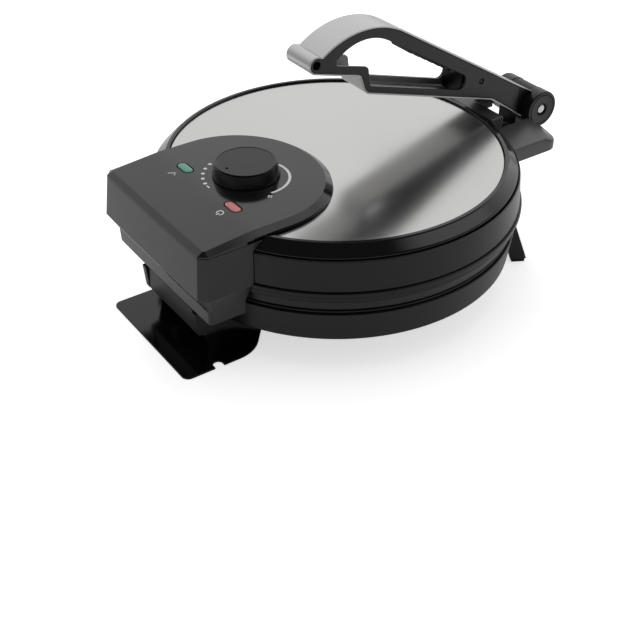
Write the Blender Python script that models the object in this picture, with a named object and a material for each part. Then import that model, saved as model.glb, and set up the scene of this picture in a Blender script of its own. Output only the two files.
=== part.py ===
"""Electric roti maker: two hinged round housings, a control box and a folding press handle.

Lengths are in metres and +Z is up. -Y is the front, where the press handle is hinged,
and +Y is the rear, with the control box and the lid hinge. Most shapes are drawn round
the upright axis of the round body, which stands BODY_AXIS_Y behind the origin. Radii and
reaches follow BODY_RADIUS, and heights follow one another upwards from the base.
"""
import math

import bmesh
import bpy
from mathutils import Vector

# Clearances
SEAT_GAP = 0.0003
RUN_GAP = 0.0004
CUT_OVERRUN = 0.003

# Facets in a full turn, and in half a turn of a slot
OUTER_STEPS = 48
INNER_STEPS = 28
SMALL_STEPS = 16
SLOT_STEPS = 4
LENS_STEPS = 6

# Round body: its largest radius, at the ring between skirt and rim
BODY_RADIUS = 0.1495

# Base shell
BASE_BOTTOM_Z = 0.032
BASE_HEIGHT = 0.0254
BASE_TOP_INSET = 0.00375
BASE_TAPER = 0.00355
BASE_WALL = 0.0028
BASE_FLOOR = 0.0025
BASE_LIP_WIDTH = 0.0122
BASE_EDGE = 0.0014

# Base bottom cover
COVER_OVERLAP = 0.0035
COVER_THICKNESS = 0.0028
COVER_VENTS = 6
COVER_VENT_LENGTH = 0.034
COVER_VENT_WIDTH = 0.005
COVER_VENT_PLACE = 0.070
COVER_SCREWS = 3
COVER_SCREW_RADIUS = 0.0018
COVER_SCREW_HEAD_RADIUS = 0.0036
COVER_SCREW_HEAD = 0.0016
SCREW_HEAD_TOP_SHARE = 0.8

# Cooking plates, heating rings and heat shields
PLATE_GAP = 0.0018
PLATE_FLANGE = 0.0013
PLATE_FLANGE_INSET = 0.0022
PLATE_BODY_INSET = 0.006
PLATE_THICKNESS = 0.005
ELEMENT_RADIUS = 0.085
ELEMENT_TUBE_RADIUS = 0.0035
ELEMENT_SWEEP = math.radians(300)
ELEMENT_POINTS = 22
ELEMENT_SIDES = 6
SHIELD_INSET = 0.0242
SHIELD_HOLE_RADIUS = 0.030
SHIELD_THICKNESS = 0.0012
SHIELD_RIM = 0.006

# Lid skirt, the lower ring of the lid
SKIRT_GAP = 0.0036
SKIRT_HEIGHT = 0.0173
SKIRT_BAND_INSET = 0.0017
SKIRT_MIDDLE_STEP = 0.0013
SKIRT_BOTTOM_STEP = 0.0023
SKIRT_GROOVE = 0.0012
SKIRT_LOWER_GROOVE_SHARE = 0.47
SKIRT_UPPER_GROOVE_SHARE = 0.74
SKIRT_GROOVE_HEIGHT = 0.0008
SKIRT_INNER_INSET = 0.0069
SKIRT_LEDGE = 0.0031
SKIRT_LEDGE_HEIGHT = 0.0011

# Lid rim, the wall and bevel round the steel cover
RIM_INSET = 0.0015
RIM_TAPER = 0.0019
RIM_WALL_HEIGHT = 0.0252
RIM_BEVEL_WIDTH = 0.0095
RIM_BEVEL_HEIGHT = 0.008
RIM_WALL = 0.003
RIM_BEAD_WIDTH = 0.0034
RIM_BEAD_HEIGHT = 0.0011
RIM_LEDGE_WIDTH = 0.0042
RIM_LEDGE_HEIGHT = 0.0025
RIM_LEDGE_DROP = 0.0019

# Steel cover
COVER_SHEET = 0.0011
COVER_CROWN = 0.0008
COVER_CROWN_RINGS = 2
COVER_SHAFT_HOLE_RADIUS = 0.0075
COVER_LAMP_HOLE_RADIUS = 0.0062

# Control box on the lid: an upper part over a set back lower part with a sloped underside
BOX_BELOW_BASE_TOP = 0.0064
BOX_SLOPE_ABOVE_BOTTOM = 0.012
BOX_STEP_DROP = 0.0008
BOX_HALF_WIDTH = 0.0781
BOX_SIDE_DRAFT = 0.0024
BOX_OVERHANG = 0.0211
BOX_REAR_DRAFT = 0.0035
BOX_LOWER_SIDE_INSET = 0.0057
BOX_LOWER_REAR_INSET = 0.0086
BOX_LOWER_DRAFT = 0.0004
BOX_BULGE = 0.0005
BOX_CHAMFER = 0.0057
BOX_LOWER_CORNER = 0.0032
BOX_WALL = 0.0025
BOX_FRONT_INSET = 0.0375
BOX_CORNER_STEPS = 5
BOX_EDGE_STEPS = 8

# Control panel, a cap over the box with a round tongue over the steel
PANEL_DROP = 0.0008
PANEL_HEIGHT = 0.007
PANEL_BEVEL_HEIGHT = 0.0035
PANEL_BEVEL_WIDTH = 0.005
PANEL_CORNER = 0.0012
PANEL_CLEAR = 0.0008
PANEL_FALL = 0.0041
PANEL_CREASE_FALL = 0.0029
TONGUE_INSET = 0.058
TONGUE_FLARE = 0.0011
TONGUE_FLATTENING = 0.0053
TONGUE_BLEND = 0.031
TONGUE_STEPS = 16

# Thermostat and its knob
KNOB_INSET = 0.0662
KNOB_HEIGHT = 0.0112
KNOB_TOP_RADIUS = 0.0236
KNOB_FOOT_RADIUS = 0.0262
KNOB_EDGE = 0.0009
KNOB_SOCKET_DEPTH = 0.0078
SHAFT_RADIUS = 0.003
SHAFT_BUSH_RADIUS = 0.0048
THERMOSTAT_RADIUS = 0.014
THERMOSTAT_HEIGHT = 0.020

# Indicator lamps
LAMP_HALF_SPACING = 0.0354
LAMP_INSET = 0.0332
LENS_LENGTH = 0.0180
LENS_WIDTH = 0.0088
LENS_RISE = 0.0007
LAMP_RADIUS = 0.0052
LAMP_LENGTH = 0.012

# Lid hinge at the rear
HINGE_WALL_ROOM = 0.0066
HINGE_ABOVE_EDGE = 0.006
HINGE_PIN_RADIUS = 0.0025
HINGE_KNUCKLE_RADIUS = 0.006
HINGE_PIN_OVERHANG = 0.002
KNUCKLE_START = math.radians(-140)
KNUCKLE_END = math.radians(155)
KNUCKLE_STEPS = 14
LUG_THICKNESS = 0.004
LUG_WEB = 0.002
LUG_WEB_DROP = 0.0157
LUG_STEPS = 10

# Hinge tower behind the base
TOWER_HALF_WIDTH = 0.042
TOWER_CHEEK = 0.006
TOWER_BOTTOM_Z = 0.020
TOWER_BEHIND_HINGE = 0.0055
TOWER_REAR_SLOPE = 0.0018
TOWER_ROOM = 0.015
TOWER_NECK = 0.0024
TOWER_FRONT_CLEAR = 0.0007
TOWER_FOOT_LENGTH = 0.040
TOWER_WEB = 0.0028

# Stand plate under the tower, bent from sheet
STAND_SHEET = 0.0015
STAND_SIDE_REACH = 0.018
STAND_OVERHANG = 0.0295
STAND_LENGTH = 0.113
STAND_SIDE_LENGTH = 0.062
STAND_NECK_LENGTH = 0.029
STAND_NECK_INSET = 0.008
STAND_CORNER = 0.006
STAND_WAIST_CORNER = 0.030
STAND_NECK_CORNER = 0.016
STAND_NOTCH_INSET = 0.030
STAND_NOTCH_DEPTH = 0.007
STAND_NOTCH_WIDTH = 0.008
STAND_FLANGE_SLOPE = 0.0055
STAND_FLANGE_INSET = 0.0075
STAND_FLANGE_LENGTH = 0.0465

# Front feet
FOOT_TURN = math.radians(29)
FOOT_LEG_HEIGHT = 0.017
FOOT_WIDTH = 0.018
FOOT_TIP_WIDTH = 0.013
FOOT_SPREAD = 0.0078
FOOT_TIP_LENGTH = 0.0138
FOOT_TOP_THICKNESS = 0.0022
FOOT_PAD_HEIGHT = 0.003
FOOT_PAD_INSET = 0.0012

# Cord inlet gland
GLAND_TURN = math.radians(38)
GLAND_HEIGHT = 0.011
GLAND_RADIUS = 0.0058
GLAND_COLLAR_RADIUS = 0.0075
GLAND_BORE_RADIUS = 0.0036
GLAND_TIP_WALL = 0.0009
GLAND_REACH = 0.011
GLAND_COLLAR = 0.0022
GLAND_STANDOFF = 0.0011

# Terminal block inside the base
TERMINAL_LENGTH = 0.026
TERMINAL_WIDTH = 0.012
TERMINAL_HEIGHT = 0.008
TERMINAL_INSET = 0.012
TERMINAL_EDGE = 0.0008

# Front tab of the lid
TAB_DROP = 0.0118
TAB_THICKNESS = 0.013
TAB_HALF_WIDTH = 0.064
TAB_OVERHANG = 0.0435
TAB_CORNER = 0.011
TAB_SLOT_HALF_WIDTH = 0.026
TAB_SLOT_CLEAR = 0.0031
TAB_CHAMFER_WIDTH = 0.009
TAB_CHAMFER_DROP = 0.0052
TAB_PAD_HALF_WIDTH = 0.028
TAB_PAD_INSET = 0.010
TAB_PAD_DROP = 0.0011
TAB_ROOT_INSET = 0.0315
TAB_ARC_STEPS = 14

# Press handle: the outside of its strap, as shares of the reach from pivot to nose
PIVOT_OVERHANG = 0.0515
PIVOT_DROP = 0.0098
HANDLE_REACH = 0.2291
HANDLE_HALF_WIDTH = 0.0155
STRAP_THICKNESS = 0.0012
CHEEK_THICKNESS = 0.0028
CHEEK_INSET = 0.0006
ARCH_SHARES = (0.8130, 0.5584)
ARCH_RADIUS_SHARE = 0.3029
NOSE_SHARES = (1.0, 0.4155)
STEP_TOP_SHARES = (0.8285, 0.3344)
STEP_FOOT_SHARES = (0.8051, 0.2667)
HEEL_SHARES = (0.2235, 0.0851)
NOSE_RADIUS = 0.007
CREASE_TURN = math.radians(133.4)
CREASE_STANDOFF_SHARE = 1.061
CREASE_RADIUS = 0.0012
STEP_TOP_RADIUS = 0.0020
STEP_FOOT_RADIUS = 0.0087
HEEL_RADIUS = 0.004
NOSE_BORE_RADIUS = 0.0033
ARC_STEP = math.radians(15)

# Ends of the strap at the barrel
ROOT_CLEAR = 0.0025
ROOT_TOP_RISE = 0.00735
ROOT_FOOT_DROP = 0.00358

# Finger hole, in shares of the handle's reach
HOLE_SHARES = (
    (0.9275, 0.4103), (0.8062, 0.4902), (0.3579, 0.2134), (0.3623, 0.1598),
    (0.7835, 0.2885), (0.7922, 0.3588), (0.9201, 0.3946),
)
HOLE_RADIUS_SHARES = (0.0087, 0.1746, 0.0262, 0.0262, 0.0131, 0.0153, 0.0087)

# Finger grip along the upper edge of the hole
GRIP_START_SHARE = 0.366
GRIP_END_SHARE = 0.62
GRIP_DEPTH = 0.0125
GRIP_RIBS = 6
GRIP_RIB_STEPS = 4
GRIP_RIB_HEIGHT = 0.0014

# Core block at the hinge end, and its tie screw
CORE_INSET = 0.0003
CORE_TOP_SLOPE_SHARE = 0.72
SCREW_SHARES = (0.2816, 0.1724)
SCREW_HOLE_RADIUS = 0.0023
SCREW_RADIUS = 0.0019

# Barrel at the pivot
BARREL_RADIUS = 0.016
BARREL_HALF_LENGTH = 0.0245
KNUCKLE_HALF_WIDTH = 0.0109
BARREL_EDGE = 0.0012
CAP_GROOVE_INSET = 0.0035
CAP_GROOVE_WIDTH = 0.0009
CAP_GROOVE_DEPTH = 0.0009
PIVOT_PIN_RADIUS = 0.003
PIVOT_HEAD_RADIUS = 0.0046
PIVOT_HEAD_DEPTH = 0.0016
PIVOT_WELL_MARGIN = 0.0007

# Bracket that carries the barrel on the lid
BRACKET_DROP = 0.028
BRACKET_FLOOR = 0.0095
BRACKET_BEFORE_PIVOT = 0.0075
BRACKET_BEHIND_PIVOT = 0.0145
BRACKET_LEDGE = 0.0027
BRACKET_FLANGE_HALF_WIDTH = 0.023
BRACKET_FLANGE_DROP = 0.010
BRACKET_FLANGE_CLEAR = 0.0026
BRACKET_FLANGE = 0.0027
BRACKET_KNUCKLE_MARGIN = 0.0004
BRACKET_FUSE_OVERLAP = 0.0001
BRACKET_CORNER = 0.004

# Radii and reaches that follow the round body
BASE_TOP_RADIUS = BODY_RADIUS - BASE_TOP_INSET
BASE_BOTTOM_RADIUS = BASE_TOP_RADIUS - BASE_TAPER
SHIELD_RADIUS = BASE_BOTTOM_RADIUS - SHIELD_INSET
TERMINAL_PLACE = SHIELD_RADIUS - TERMINAL_INSET
SKIRT_BAND_RADIUS = BODY_RADIUS - SKIRT_BAND_INSET
SKIRT_MIDDLE_RADIUS = SKIRT_BAND_RADIUS - SKIRT_MIDDLE_STEP
SKIRT_BOTTOM_RADIUS = SKIRT_MIDDLE_RADIUS - SKIRT_BOTTOM_STEP
SKIRT_INNER_RADIUS = BODY_RADIUS - SKIRT_INNER_INSET
RIM_BOTTOM_RADIUS = BODY_RADIUS - RIM_INSET
RIM_SHOULDER_RADIUS = RIM_BOTTOM_RADIUS - RIM_TAPER
RIM_BEAD_RADIUS = RIM_SHOULDER_RADIUS - RIM_BEVEL_WIDTH
RIM_BEAD_INNER = RIM_BEAD_RADIUS - RIM_BEAD_WIDTH
STEEL_RADIUS = RIM_BEAD_INNER - SEAT_GAP
BODY_CLEAR_RADIUS = BODY_RADIUS + SEAT_GAP
FOOT_INNER_RADIUS = BASE_BOTTOM_RADIUS + FOOT_SPREAD
FOOT_OUTER_RADIUS = FOOT_INNER_RADIUS + FOOT_TIP_LENGTH
BOX_REAR = BODY_RADIUS + BOX_OVERHANG
BOX_TOP_REAR = BOX_REAR - BOX_REAR_DRAFT
BOX_LOWER_TOP_REAR = BOX_REAR - BOX_LOWER_REAR_INSET
BOX_LOWER_REAR = BOX_LOWER_TOP_REAR - BOX_LOWER_DRAFT
BOX_TOP_HALF_WIDTH = BOX_HALF_WIDTH - BOX_SIDE_DRAFT
BOX_LOWER_TOP_HALF_WIDTH = BOX_HALF_WIDTH - BOX_LOWER_SIDE_INSET
BOX_LOWER_HALF_WIDTH = BOX_LOWER_TOP_HALF_WIDTH - BOX_LOWER_DRAFT
BOX_FRONT = BODY_RADIUS - BOX_FRONT_INSET
TONGUE_CENTRE = BODY_RADIUS - TONGUE_INSET
KNOB_PLACE = BODY_RADIUS - KNOB_INSET
LAMP_PLACE = BODY_RADIUS - LAMP_INSET
HINGE_Y = BOX_LOWER_REAR - BOX_WALL - HINGE_WALL_ROOM
TOWER_REAR = HINGE_Y + TOWER_BEHIND_HINGE
TOWER_FOOT_REACH = TOWER_REAR - TOWER_FOOT_LENGTH
STAND_HALF_WIDTH = TOWER_HALF_WIDTH + STAND_SIDE_REACH
STAND_NECK_HALF_WIDTH = TOWER_HALF_WIDTH - STAND_NECK_INSET
STAND_REAR = BODY_RADIUS + STAND_OVERHANG
STAND_FRONT = STAND_REAR - STAND_LENGTH
STAND_WAIST_START = STAND_REAR - STAND_SIDE_LENGTH
STAND_WAIST_END = STAND_FRONT + STAND_NECK_LENGTH
STAND_NOTCH_PLACE = STAND_REAR - STAND_NOTCH_INSET
STAND_FLANGE_REAR = TOWER_REAR - STAND_FLANGE_INSET
STAND_FLANGE_FRONT = STAND_FLANGE_REAR - STAND_FLANGE_LENGTH
TAB_REACH = BODY_RADIUS + TAB_OVERHANG
TAB_SLOT_END = BODY_RADIUS + TAB_SLOT_CLEAR
TAB_PAD_INNER = BODY_RADIUS - TAB_PAD_INSET
TAB_ROOT = BODY_RADIUS - TAB_ROOT_INSET
PIVOT_REACH = BODY_RADIUS + PIVOT_OVERHANG
BRACKET_RISER_FRONT = PIVOT_REACH + BRACKET_BEFORE_PIVOT
BRACKET_RISER_REAR = PIVOT_REACH - BRACKET_BEHIND_PIVOT
BRACKET_LEDGE_REAR = BRACKET_RISER_REAR - BRACKET_LEDGE
BODY_AXIS_Y = (PIVOT_REACH + BARREL_RADIUS - STAND_REAR) / 2

# Heights, from the base up
BASE_TOP_Z = BASE_BOTTOM_Z + BASE_HEIGHT
FOOT_TOP_Z = BASE_BOTTOM_Z + FOOT_LEG_HEIGHT
GLAND_Z = BASE_BOTTOM_Z + GLAND_HEIGHT
LOWER_PLATE_TOP_Z = BASE_TOP_Z + SEAT_GAP + PLATE_FLANGE
UPPER_PLATE_Z = LOWER_PLATE_TOP_Z + PLATE_GAP
SKIRT_BOTTOM_Z = BASE_TOP_Z + SKIRT_GAP
SKIRT_TOP_Z = SKIRT_BOTTOM_Z + SKIRT_HEIGHT
RIM_BOTTOM_Z = SKIRT_TOP_Z + SEAT_GAP
RIM_SHOULDER_Z = RIM_BOTTOM_Z + RIM_WALL_HEIGHT
RIM_TOP_Z = RIM_SHOULDER_Z + RIM_BEVEL_HEIGHT
RIM_BEAD_Z = RIM_TOP_Z + RIM_BEAD_HEIGHT
STEEL_Z = RIM_TOP_Z - RIM_LEDGE_DROP + SEAT_GAP
STEEL_TOP_Z = STEEL_Z + COVER_SHEET + COVER_CROWN
PANEL_UNDER_Z = STEEL_TOP_Z + SEAT_GAP
PANEL_BOTTOM_Z = RIM_TOP_Z - PANEL_DROP
PANEL_TOP_Z = PANEL_BOTTOM_Z + PANEL_HEIGHT
PANEL_CREASE_Z = PANEL_TOP_Z - PANEL_BEVEL_HEIGHT
BOX_TOP_Z = PANEL_BOTTOM_Z - SEAT_GAP
BOX_STEP_Z = SKIRT_TOP_Z - BOX_STEP_DROP
BOX_BOTTOM_Z = BASE_TOP_Z - BOX_BELOW_BASE_TOP
BOX_SLOPE_Z = BOX_BOTTOM_Z + BOX_SLOPE_ABOVE_BOTTOM
HINGE_Z = BOX_BOTTOM_Z + HINGE_ABOVE_EDGE
LUG_WEB_TOP = BOX_TOP_Z - LUG_WEB_DROP
TAB_TOP_Z = RIM_TOP_Z - TAB_DROP
TAB_BOTTOM_Z = TAB_TOP_Z - TAB_THICKNESS
TAB_PAD_TOP_Z = RIM_TOP_Z - TAB_PAD_DROP
PIVOT_Z = RIM_TOP_Z - PIVOT_DROP
BRACKET_FLOOR_Z = PIVOT_Z - BRACKET_DROP
BRACKET_FLOOR_TOP_Z = BRACKET_FLOOR_Z + BRACKET_FLOOR
BRACKET_FLANGE_BOTTOM_Z = BRACKET_FLOOR_Z - BRACKET_FLANGE_DROP
BRACKET_FLANGE_TOP_Z = TAB_TOP_Z - BRACKET_FLANGE_CLEAR

# Strap ends, and widths inside the handle
ROOT_TOP = (BARREL_RADIUS + ROOT_CLEAR, BARREL_RADIUS + ROOT_TOP_RISE)
ROOT_FOOT = (BARREL_RADIUS + ROOT_CLEAR, -ROOT_FOOT_DROP)
CHEEK_OUTER = HANDLE_HALF_WIDTH - CHEEK_INSET
CHEEK_INNER = CHEEK_OUTER - CHEEK_THICKNESS
INSIDE_HALF_WIDTH = CHEEK_INNER - SEAT_GAP

# Colour, roughness and metallic value of each material
FINISHES = {
    "satin_black_plastic": ((0.055, 0.055, 0.057), 0.42, 0.0),
    "panel_plastic": ((0.085, 0.085, 0.087), 0.38, 0.0),
    "gloss_black_plastic": ((0.022, 0.022, 0.023), 0.18, 0.0),
    "knob_plastic": ((0.030, 0.030, 0.031), 0.40, 0.0),
    "brushed_steel": ((0.62, 0.61, 0.60), 0.30, 1.0),
    "handle_steel": ((0.60, 0.60, 0.60), 0.36, 1.0),
    "coated_plate": ((0.030, 0.030, 0.031), 0.55, 0.1),
    "galvanised_steel": ((0.45, 0.46, 0.47), 0.45, 1.0),
    "black_steel": ((0.012, 0.012, 0.013), 0.45, 0.3),
    "heating_tube": ((0.20, 0.19, 0.18), 0.50, 0.9),
    "green_lens": ((0.020, 0.300, 0.160), 0.20, 0.0),
    "red_lens": ((0.500, 0.070, 0.060), 0.20, 0.0),
    "black_rubber": ((0.018, 0.018, 0.018), 0.75, 0.0),
    "white_ceramic": ((0.75, 0.73, 0.68), 0.50, 0.0),
    "zinc_screw": ((0.55, 0.55, 0.56), 0.35, 1.0),
}

groups = {}


# Scene, groups and materials

def clear_scene():
    for item in list(bpy.data.objects):
        bpy.data.objects.remove(item, do_unlink=True)


def make_group(name, place, parent=None):
    empty = bpy.data.objects.new(name, None)
    bpy.context.scene.collection.objects.link(empty)
    offset = groups[parent][1] if parent else Vector((0, 0, 0))
    empty.location = Vector(place) - offset
    if parent:
        empty.parent = groups[parent][0]
    groups[name] = (empty, Vector(place))


def finish_material(name):
    material = bpy.data.materials.get(name)
    if material:
        return material
    colour, roughness, metallic = FINISHES[name]
    material = bpy.data.materials.new(name)
    material.use_nodes = True
    shader = material.node_tree.nodes["Principled BSDF"]
    shader.inputs["Base Color"].default_value = (*colour, 1.0)
    shader.inputs["Roughness"].default_value = roughness
    shader.inputs["Metallic"].default_value = metallic
    material.diffuse_color = (*colour, 1.0)
    return material


def add_mesh(name, bm, finish, group, place=(0, 0, 0), turn=(0, 0, 0), smooth=35):
    """Turn a bmesh into a named object in a group, at a place in the body's frame."""
    bmesh.ops.remove_doubles(bm, verts=bm.verts, dist=1e-7)
    bmesh.ops.recalc_face_normals(bm, faces=bm.faces)
    mesh = bpy.data.meshes.new(name)
    bm.to_mesh(mesh)
    bm.free()
    item = bpy.data.objects.new(name, mesh)
    bpy.context.scene.collection.objects.link(item)
    if finish:
        mesh.materials.append(finish_material(finish))
    mesh.shade_smooth()
    mesh.set_sharp_from_angle(angle=math.radians(smooth))
    item.parent = groups[group][0]
    item.location = Vector(place) - groups[group][1]
    item.rotation_euler = turn
    return item


def hide_guide(item):
    item.hide_render = True
    item.display_type = "WIRE"
    return item


def cut(item, cutter):
    change = item.modifiers.new("cut", "BOOLEAN")
    change.operation = "DIFFERENCE"
    change.object = hide_guide(cutter)


def fuse(item, other):
    change = item.modifiers.new("fuse", "BOOLEAN")
    change.operation = "UNION"
    change.object = hide_guide(other)


# Shapes

def revolve(section, steps):
    """Turn a closed section of (radius, height) points round Z, capped where it meets the axis."""
    bm = bmesh.new()
    on_axis = [index for index, point in enumerate(section) if point[0] == 0]
    if on_axis:
        first = max(index for index in on_axis if section[(index + 1) % len(section)][0] > 0)
        section = section[first + 1:] + section[:first + 1]
        section = [point for point in section if point[0] > 0]
    rings = []
    for radius, height in section:
        rings.append([bm.verts.new((x, y, height)) for x, y in circle(radius, steps)])
    for lower, upper in zip(rings, rings[1:]):
        join_rings(bm, lower, upper)
    if on_axis:
        bm.faces.new(rings[0])
        bm.faces.new(rings[-1])
    else:
        join_rings(bm, rings[-1], rings[0])
    return bm


def prism(outline, low, high, axis="Z"):
    """Extrude an outline from low to high; an X prism reads its outline as (y, z)."""
    bm = bmesh.new()
    rings = []
    for level in (low, high):
        if axis == "Z":
            ring = [bm.verts.new((a, b, level)) for a, b in outline]
        else:
            ring = [bm.verts.new((level, a, b)) for a, b in outline]
        rings.append(ring)
    bm.faces.new(rings[0])
    bm.faces.new(rings[1])
    join_rings(bm, rings[0], rings[1])
    return bm


def join_rings(bm, first, second):
    count = len(first)
    for index in range(count):
        after = (index + 1) % count
        bm.faces.new((first[index], first[after], second[after], second[index]))


def loft(levels):
    """Join outlines of equal count at their heights into one closed solid."""
    bm = bmesh.new()
    rings = []
    for height, outline in levels:
        rings.append([bm.verts.new((x, y, height)) for x, y in outline])
    for lower, upper in zip(rings, rings[1:]):
        join_rings(bm, lower, upper)
    bm.faces.new(rings[0])
    bm.faces.new(rings[-1])
    return bm


def circle(radius, steps, centre=(0, 0)):
    points = []
    for step in range(steps):
        angle = math.tau * step / steps
        points.append((centre[0] + radius * math.cos(angle), centre[1] + radius * math.sin(angle)))
    return points


def rod(radius, low, high, steps, axis="Z"):
    """A round bar from low to high along Z or X."""
    return prism(circle(radius, steps), low, high, axis)


def turned_on_x(section, steps):
    """Turn a section of (radius, x) points round the X axis."""
    bm = revolve(section, steps)
    for vert in bm.verts:
        x, y, z = vert.co
        vert.co = (z, x, y)
    return bm


def box(low, high):
    outline = [(low[0], low[1]), (high[0], low[1]), (high[0], high[1]), (low[0], high[1])]
    return prism(outline, low[2], high[2])


def obround(length, width, steps):
    """A slot outline along X with round ends, about its own centre."""
    offset = (length - width) / 2
    points = []
    for centre, start in ((offset, -math.pi / 2), (-offset, math.pi / 2)):
        for step in range(steps + 1):
            angle = start + math.pi * step / steps
            points.append((centre + width / 2 * math.cos(angle), width / 2 * math.sin(angle)))
    return points


def rounded(corners, radii, offset=0.0, closed=True):
    """Round the corners of a clockwise (y, z) outline, moved outwards by an offset."""
    count = len(corners)
    spans = count if closed else count - 1
    lines = []
    for index in range(spans):
        start = Vector(corners[index])
        run = Vector(corners[(index + 1) % count]) - start
        run.normalize()
        outward = Vector((-run.y, run.x))
        lines.append((start + outward * offset, run, outward))
    points = []
    for index in range(count):
        if not closed and index in (0, count - 1):
            place, run, outward = lines[0] if index == 0 else lines[-1]
            points.append(Vector(corners[index]) + outward * offset)
            continue
        before_place, before, before_out = lines[index - 1]
        after_place, after, _ = lines[index]
        turn = before.x * after.y - before.y * after.x
        gap = after_place - before_place
        along = (gap.x * after.y - gap.y * after.x) / turn
        corner = before_place + before * along
        bend = math.atan2(turn, before.dot(after))
        radius = max(radii[index] + (offset if bend < 0 else -offset), 0.0)
        if radius < SEAT_GAP:
            points.append(corner)
            continue
        back = radius * math.tan(abs(bend) / 2)
        side = 1 if bend > 0 else -1
        centre = corner - before * back + before_out * radius * side
        parts = max(2, math.ceil(abs(bend) / ARC_STEP))
        first = (corner - before * back) - centre
        for part in range(parts + 1):
            angle = bend * part / parts
            turned = Vector((first.x * math.cos(angle) - first.y * math.sin(angle),
                             first.x * math.sin(angle) + first.y * math.cos(angle)))
            points.append(centre + turned)
    return [tuple(point) for point in points]


def tube(points, radius, sides):
    """A closed tube along a flat path in XY."""
    bm = bmesh.new()
    rings = []
    for index, point in enumerate(points):
        ahead = Vector(points[min(index + 1, len(points) - 1)])
        behind = Vector(points[max(index - 1, 0)])
        run = (ahead - behind).normalized()
        across = Vector((-run.y, run.x))
        ring = []
        for side in range(sides):
            angle = math.tau * side / sides
            place = Vector(point) + across * radius * math.cos(angle)
            ring.append(bm.verts.new((place.x, place.y, radius * math.sin(angle))))
        rings.append(ring)
    for first, second in zip(rings, rings[1:]):
        join_rings(bm, first, second)
    bm.faces.new(rings[0])
    bm.faces.new(rings[-1])
    return bm


# Base

def make_base_shell():
    top_inner = BASE_TOP_RADIUS - BASE_WALL
    floor_inner = BASE_BOTTOM_RADIUS - BASE_WALL
    lip = BASE_BOTTOM_RADIUS - BASE_LIP_WIDTH
    section = [
        (lip, BASE_BOTTOM_Z), (BASE_BOTTOM_RADIUS - BASE_EDGE, BASE_BOTTOM_Z),
        (BASE_BOTTOM_RADIUS, BASE_BOTTOM_Z + BASE_EDGE), (BASE_TOP_RADIUS, BASE_TOP_Z),
        (top_inner, BASE_TOP_Z), (floor_inner, BASE_BOTTOM_Z + BASE_FLOOR),
        (lip, BASE_BOTTOM_Z + BASE_FLOOR),
    ]
    shell = add_mesh("base_shell", revolve(section, OUTER_STEPS), "satin_black_plastic", "base")
    bore = turned_on_x([(0, -CUT_OVERRUN), (GLAND_RADIUS + SEAT_GAP, -CUT_OVERRUN),
                        (GLAND_RADIUS + SEAT_GAP, BASE_LIP_WIDTH), (0, BASE_LIP_WIDTH)], SMALL_STEPS)
    start = BASE_TOP_RADIUS - BASE_LIP_WIDTH + CUT_OVERRUN
    turn = math.pi / 2 - GLAND_TURN
    place = (start * math.cos(turn), start * math.sin(turn), GLAND_Z)
    cut(shell, add_mesh("gland_hole", bore, None, "base", place, (0, 0, turn)))


def make_base_cover():
    radius = BASE_BOTTOM_RADIUS - BASE_LIP_WIDTH + COVER_OVERLAP
    top = BASE_BOTTOM_Z - SEAT_GAP
    section = [(0, top), (radius, top), (radius, top - COVER_THICKNESS / 2),
               (radius - COVER_THICKNESS / 2, top - COVER_THICKNESS), (0, top - COVER_THICKNESS)]
    cover = add_mesh("base_bottom_cover", revolve(section, INNER_STEPS), "satin_black_plastic", "base")
    for index in range(COVER_VENTS):
        angle = math.tau * (index + 0.5) / COVER_VENTS
        slot = prism(obround(COVER_VENT_LENGTH, COVER_VENT_WIDTH, SLOT_STEPS),
                     top - COVER_THICKNESS - CUT_OVERRUN, top + CUT_OVERRUN)
        place = (COVER_VENT_PLACE * math.cos(angle), COVER_VENT_PLACE * math.sin(angle), 0)
        cut(cover, add_mesh(f"cover_vent_cut_{index + 1}", slot, None, "base", place, (0, 0, angle)))
    screw_ring = radius - COVER_SCREW_HEAD_RADIUS
    for index in range(COVER_SCREWS):
        angle = math.tau * index / COVER_SCREWS - math.pi / 2
        place = (screw_ring * math.cos(angle), screw_ring * math.sin(angle), 0)
        hole = rod(COVER_SCREW_RADIUS + SEAT_GAP, top - COVER_THICKNESS - CUT_OVERRUN,
                   top + CUT_OVERRUN, SMALL_STEPS // 2)
        cut(cover, add_mesh(f"cover_screw_hole_{index + 1}", hole, None, "base", place))
        under = top - COVER_THICKNESS - SEAT_GAP
        screw = [(0, under - COVER_SCREW_HEAD),
                 (COVER_SCREW_HEAD_RADIUS * SCREW_HEAD_TOP_SHARE, under - COVER_SCREW_HEAD),
                 (COVER_SCREW_HEAD_RADIUS, under - COVER_SCREW_HEAD / 2), (COVER_SCREW_HEAD_RADIUS, under),
                 (COVER_SCREW_RADIUS, under), (COVER_SCREW_RADIUS, top - SEAT_GAP), (0, top - SEAT_GAP)]
        add_mesh(f"cover_screw_{index + 1}", revolve(screw, SMALL_STEPS // 2), "zinc_screw", "base", place)


def make_lower_plate():
    flange = BASE_TOP_RADIUS - PLATE_FLANGE_INSET
    body = BASE_TOP_RADIUS - BASE_WALL - PLATE_BODY_INSET
    seat = BASE_TOP_Z + SEAT_GAP
    section = [(0, LOWER_PLATE_TOP_Z), (flange, LOWER_PLATE_TOP_Z), (flange, seat), (body, seat),
               (body, LOWER_PLATE_TOP_Z - PLATE_THICKNESS), (0, LOWER_PLATE_TOP_Z - PLATE_THICKNESS)]
    add_mesh("lower_cooking_plate", revolve(section, OUTER_STEPS), "coated_plate", "base")


def element_path():
    points = []
    for step in range(ELEMENT_POINTS):
        angle = math.pi / 2 + (math.tau - ELEMENT_SWEEP) / 2 + ELEMENT_SWEEP * step / (ELEMENT_POINTS - 1)
        points.append((ELEMENT_RADIUS * math.cos(angle), ELEMENT_RADIUS * math.sin(angle)))
    return points


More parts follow.
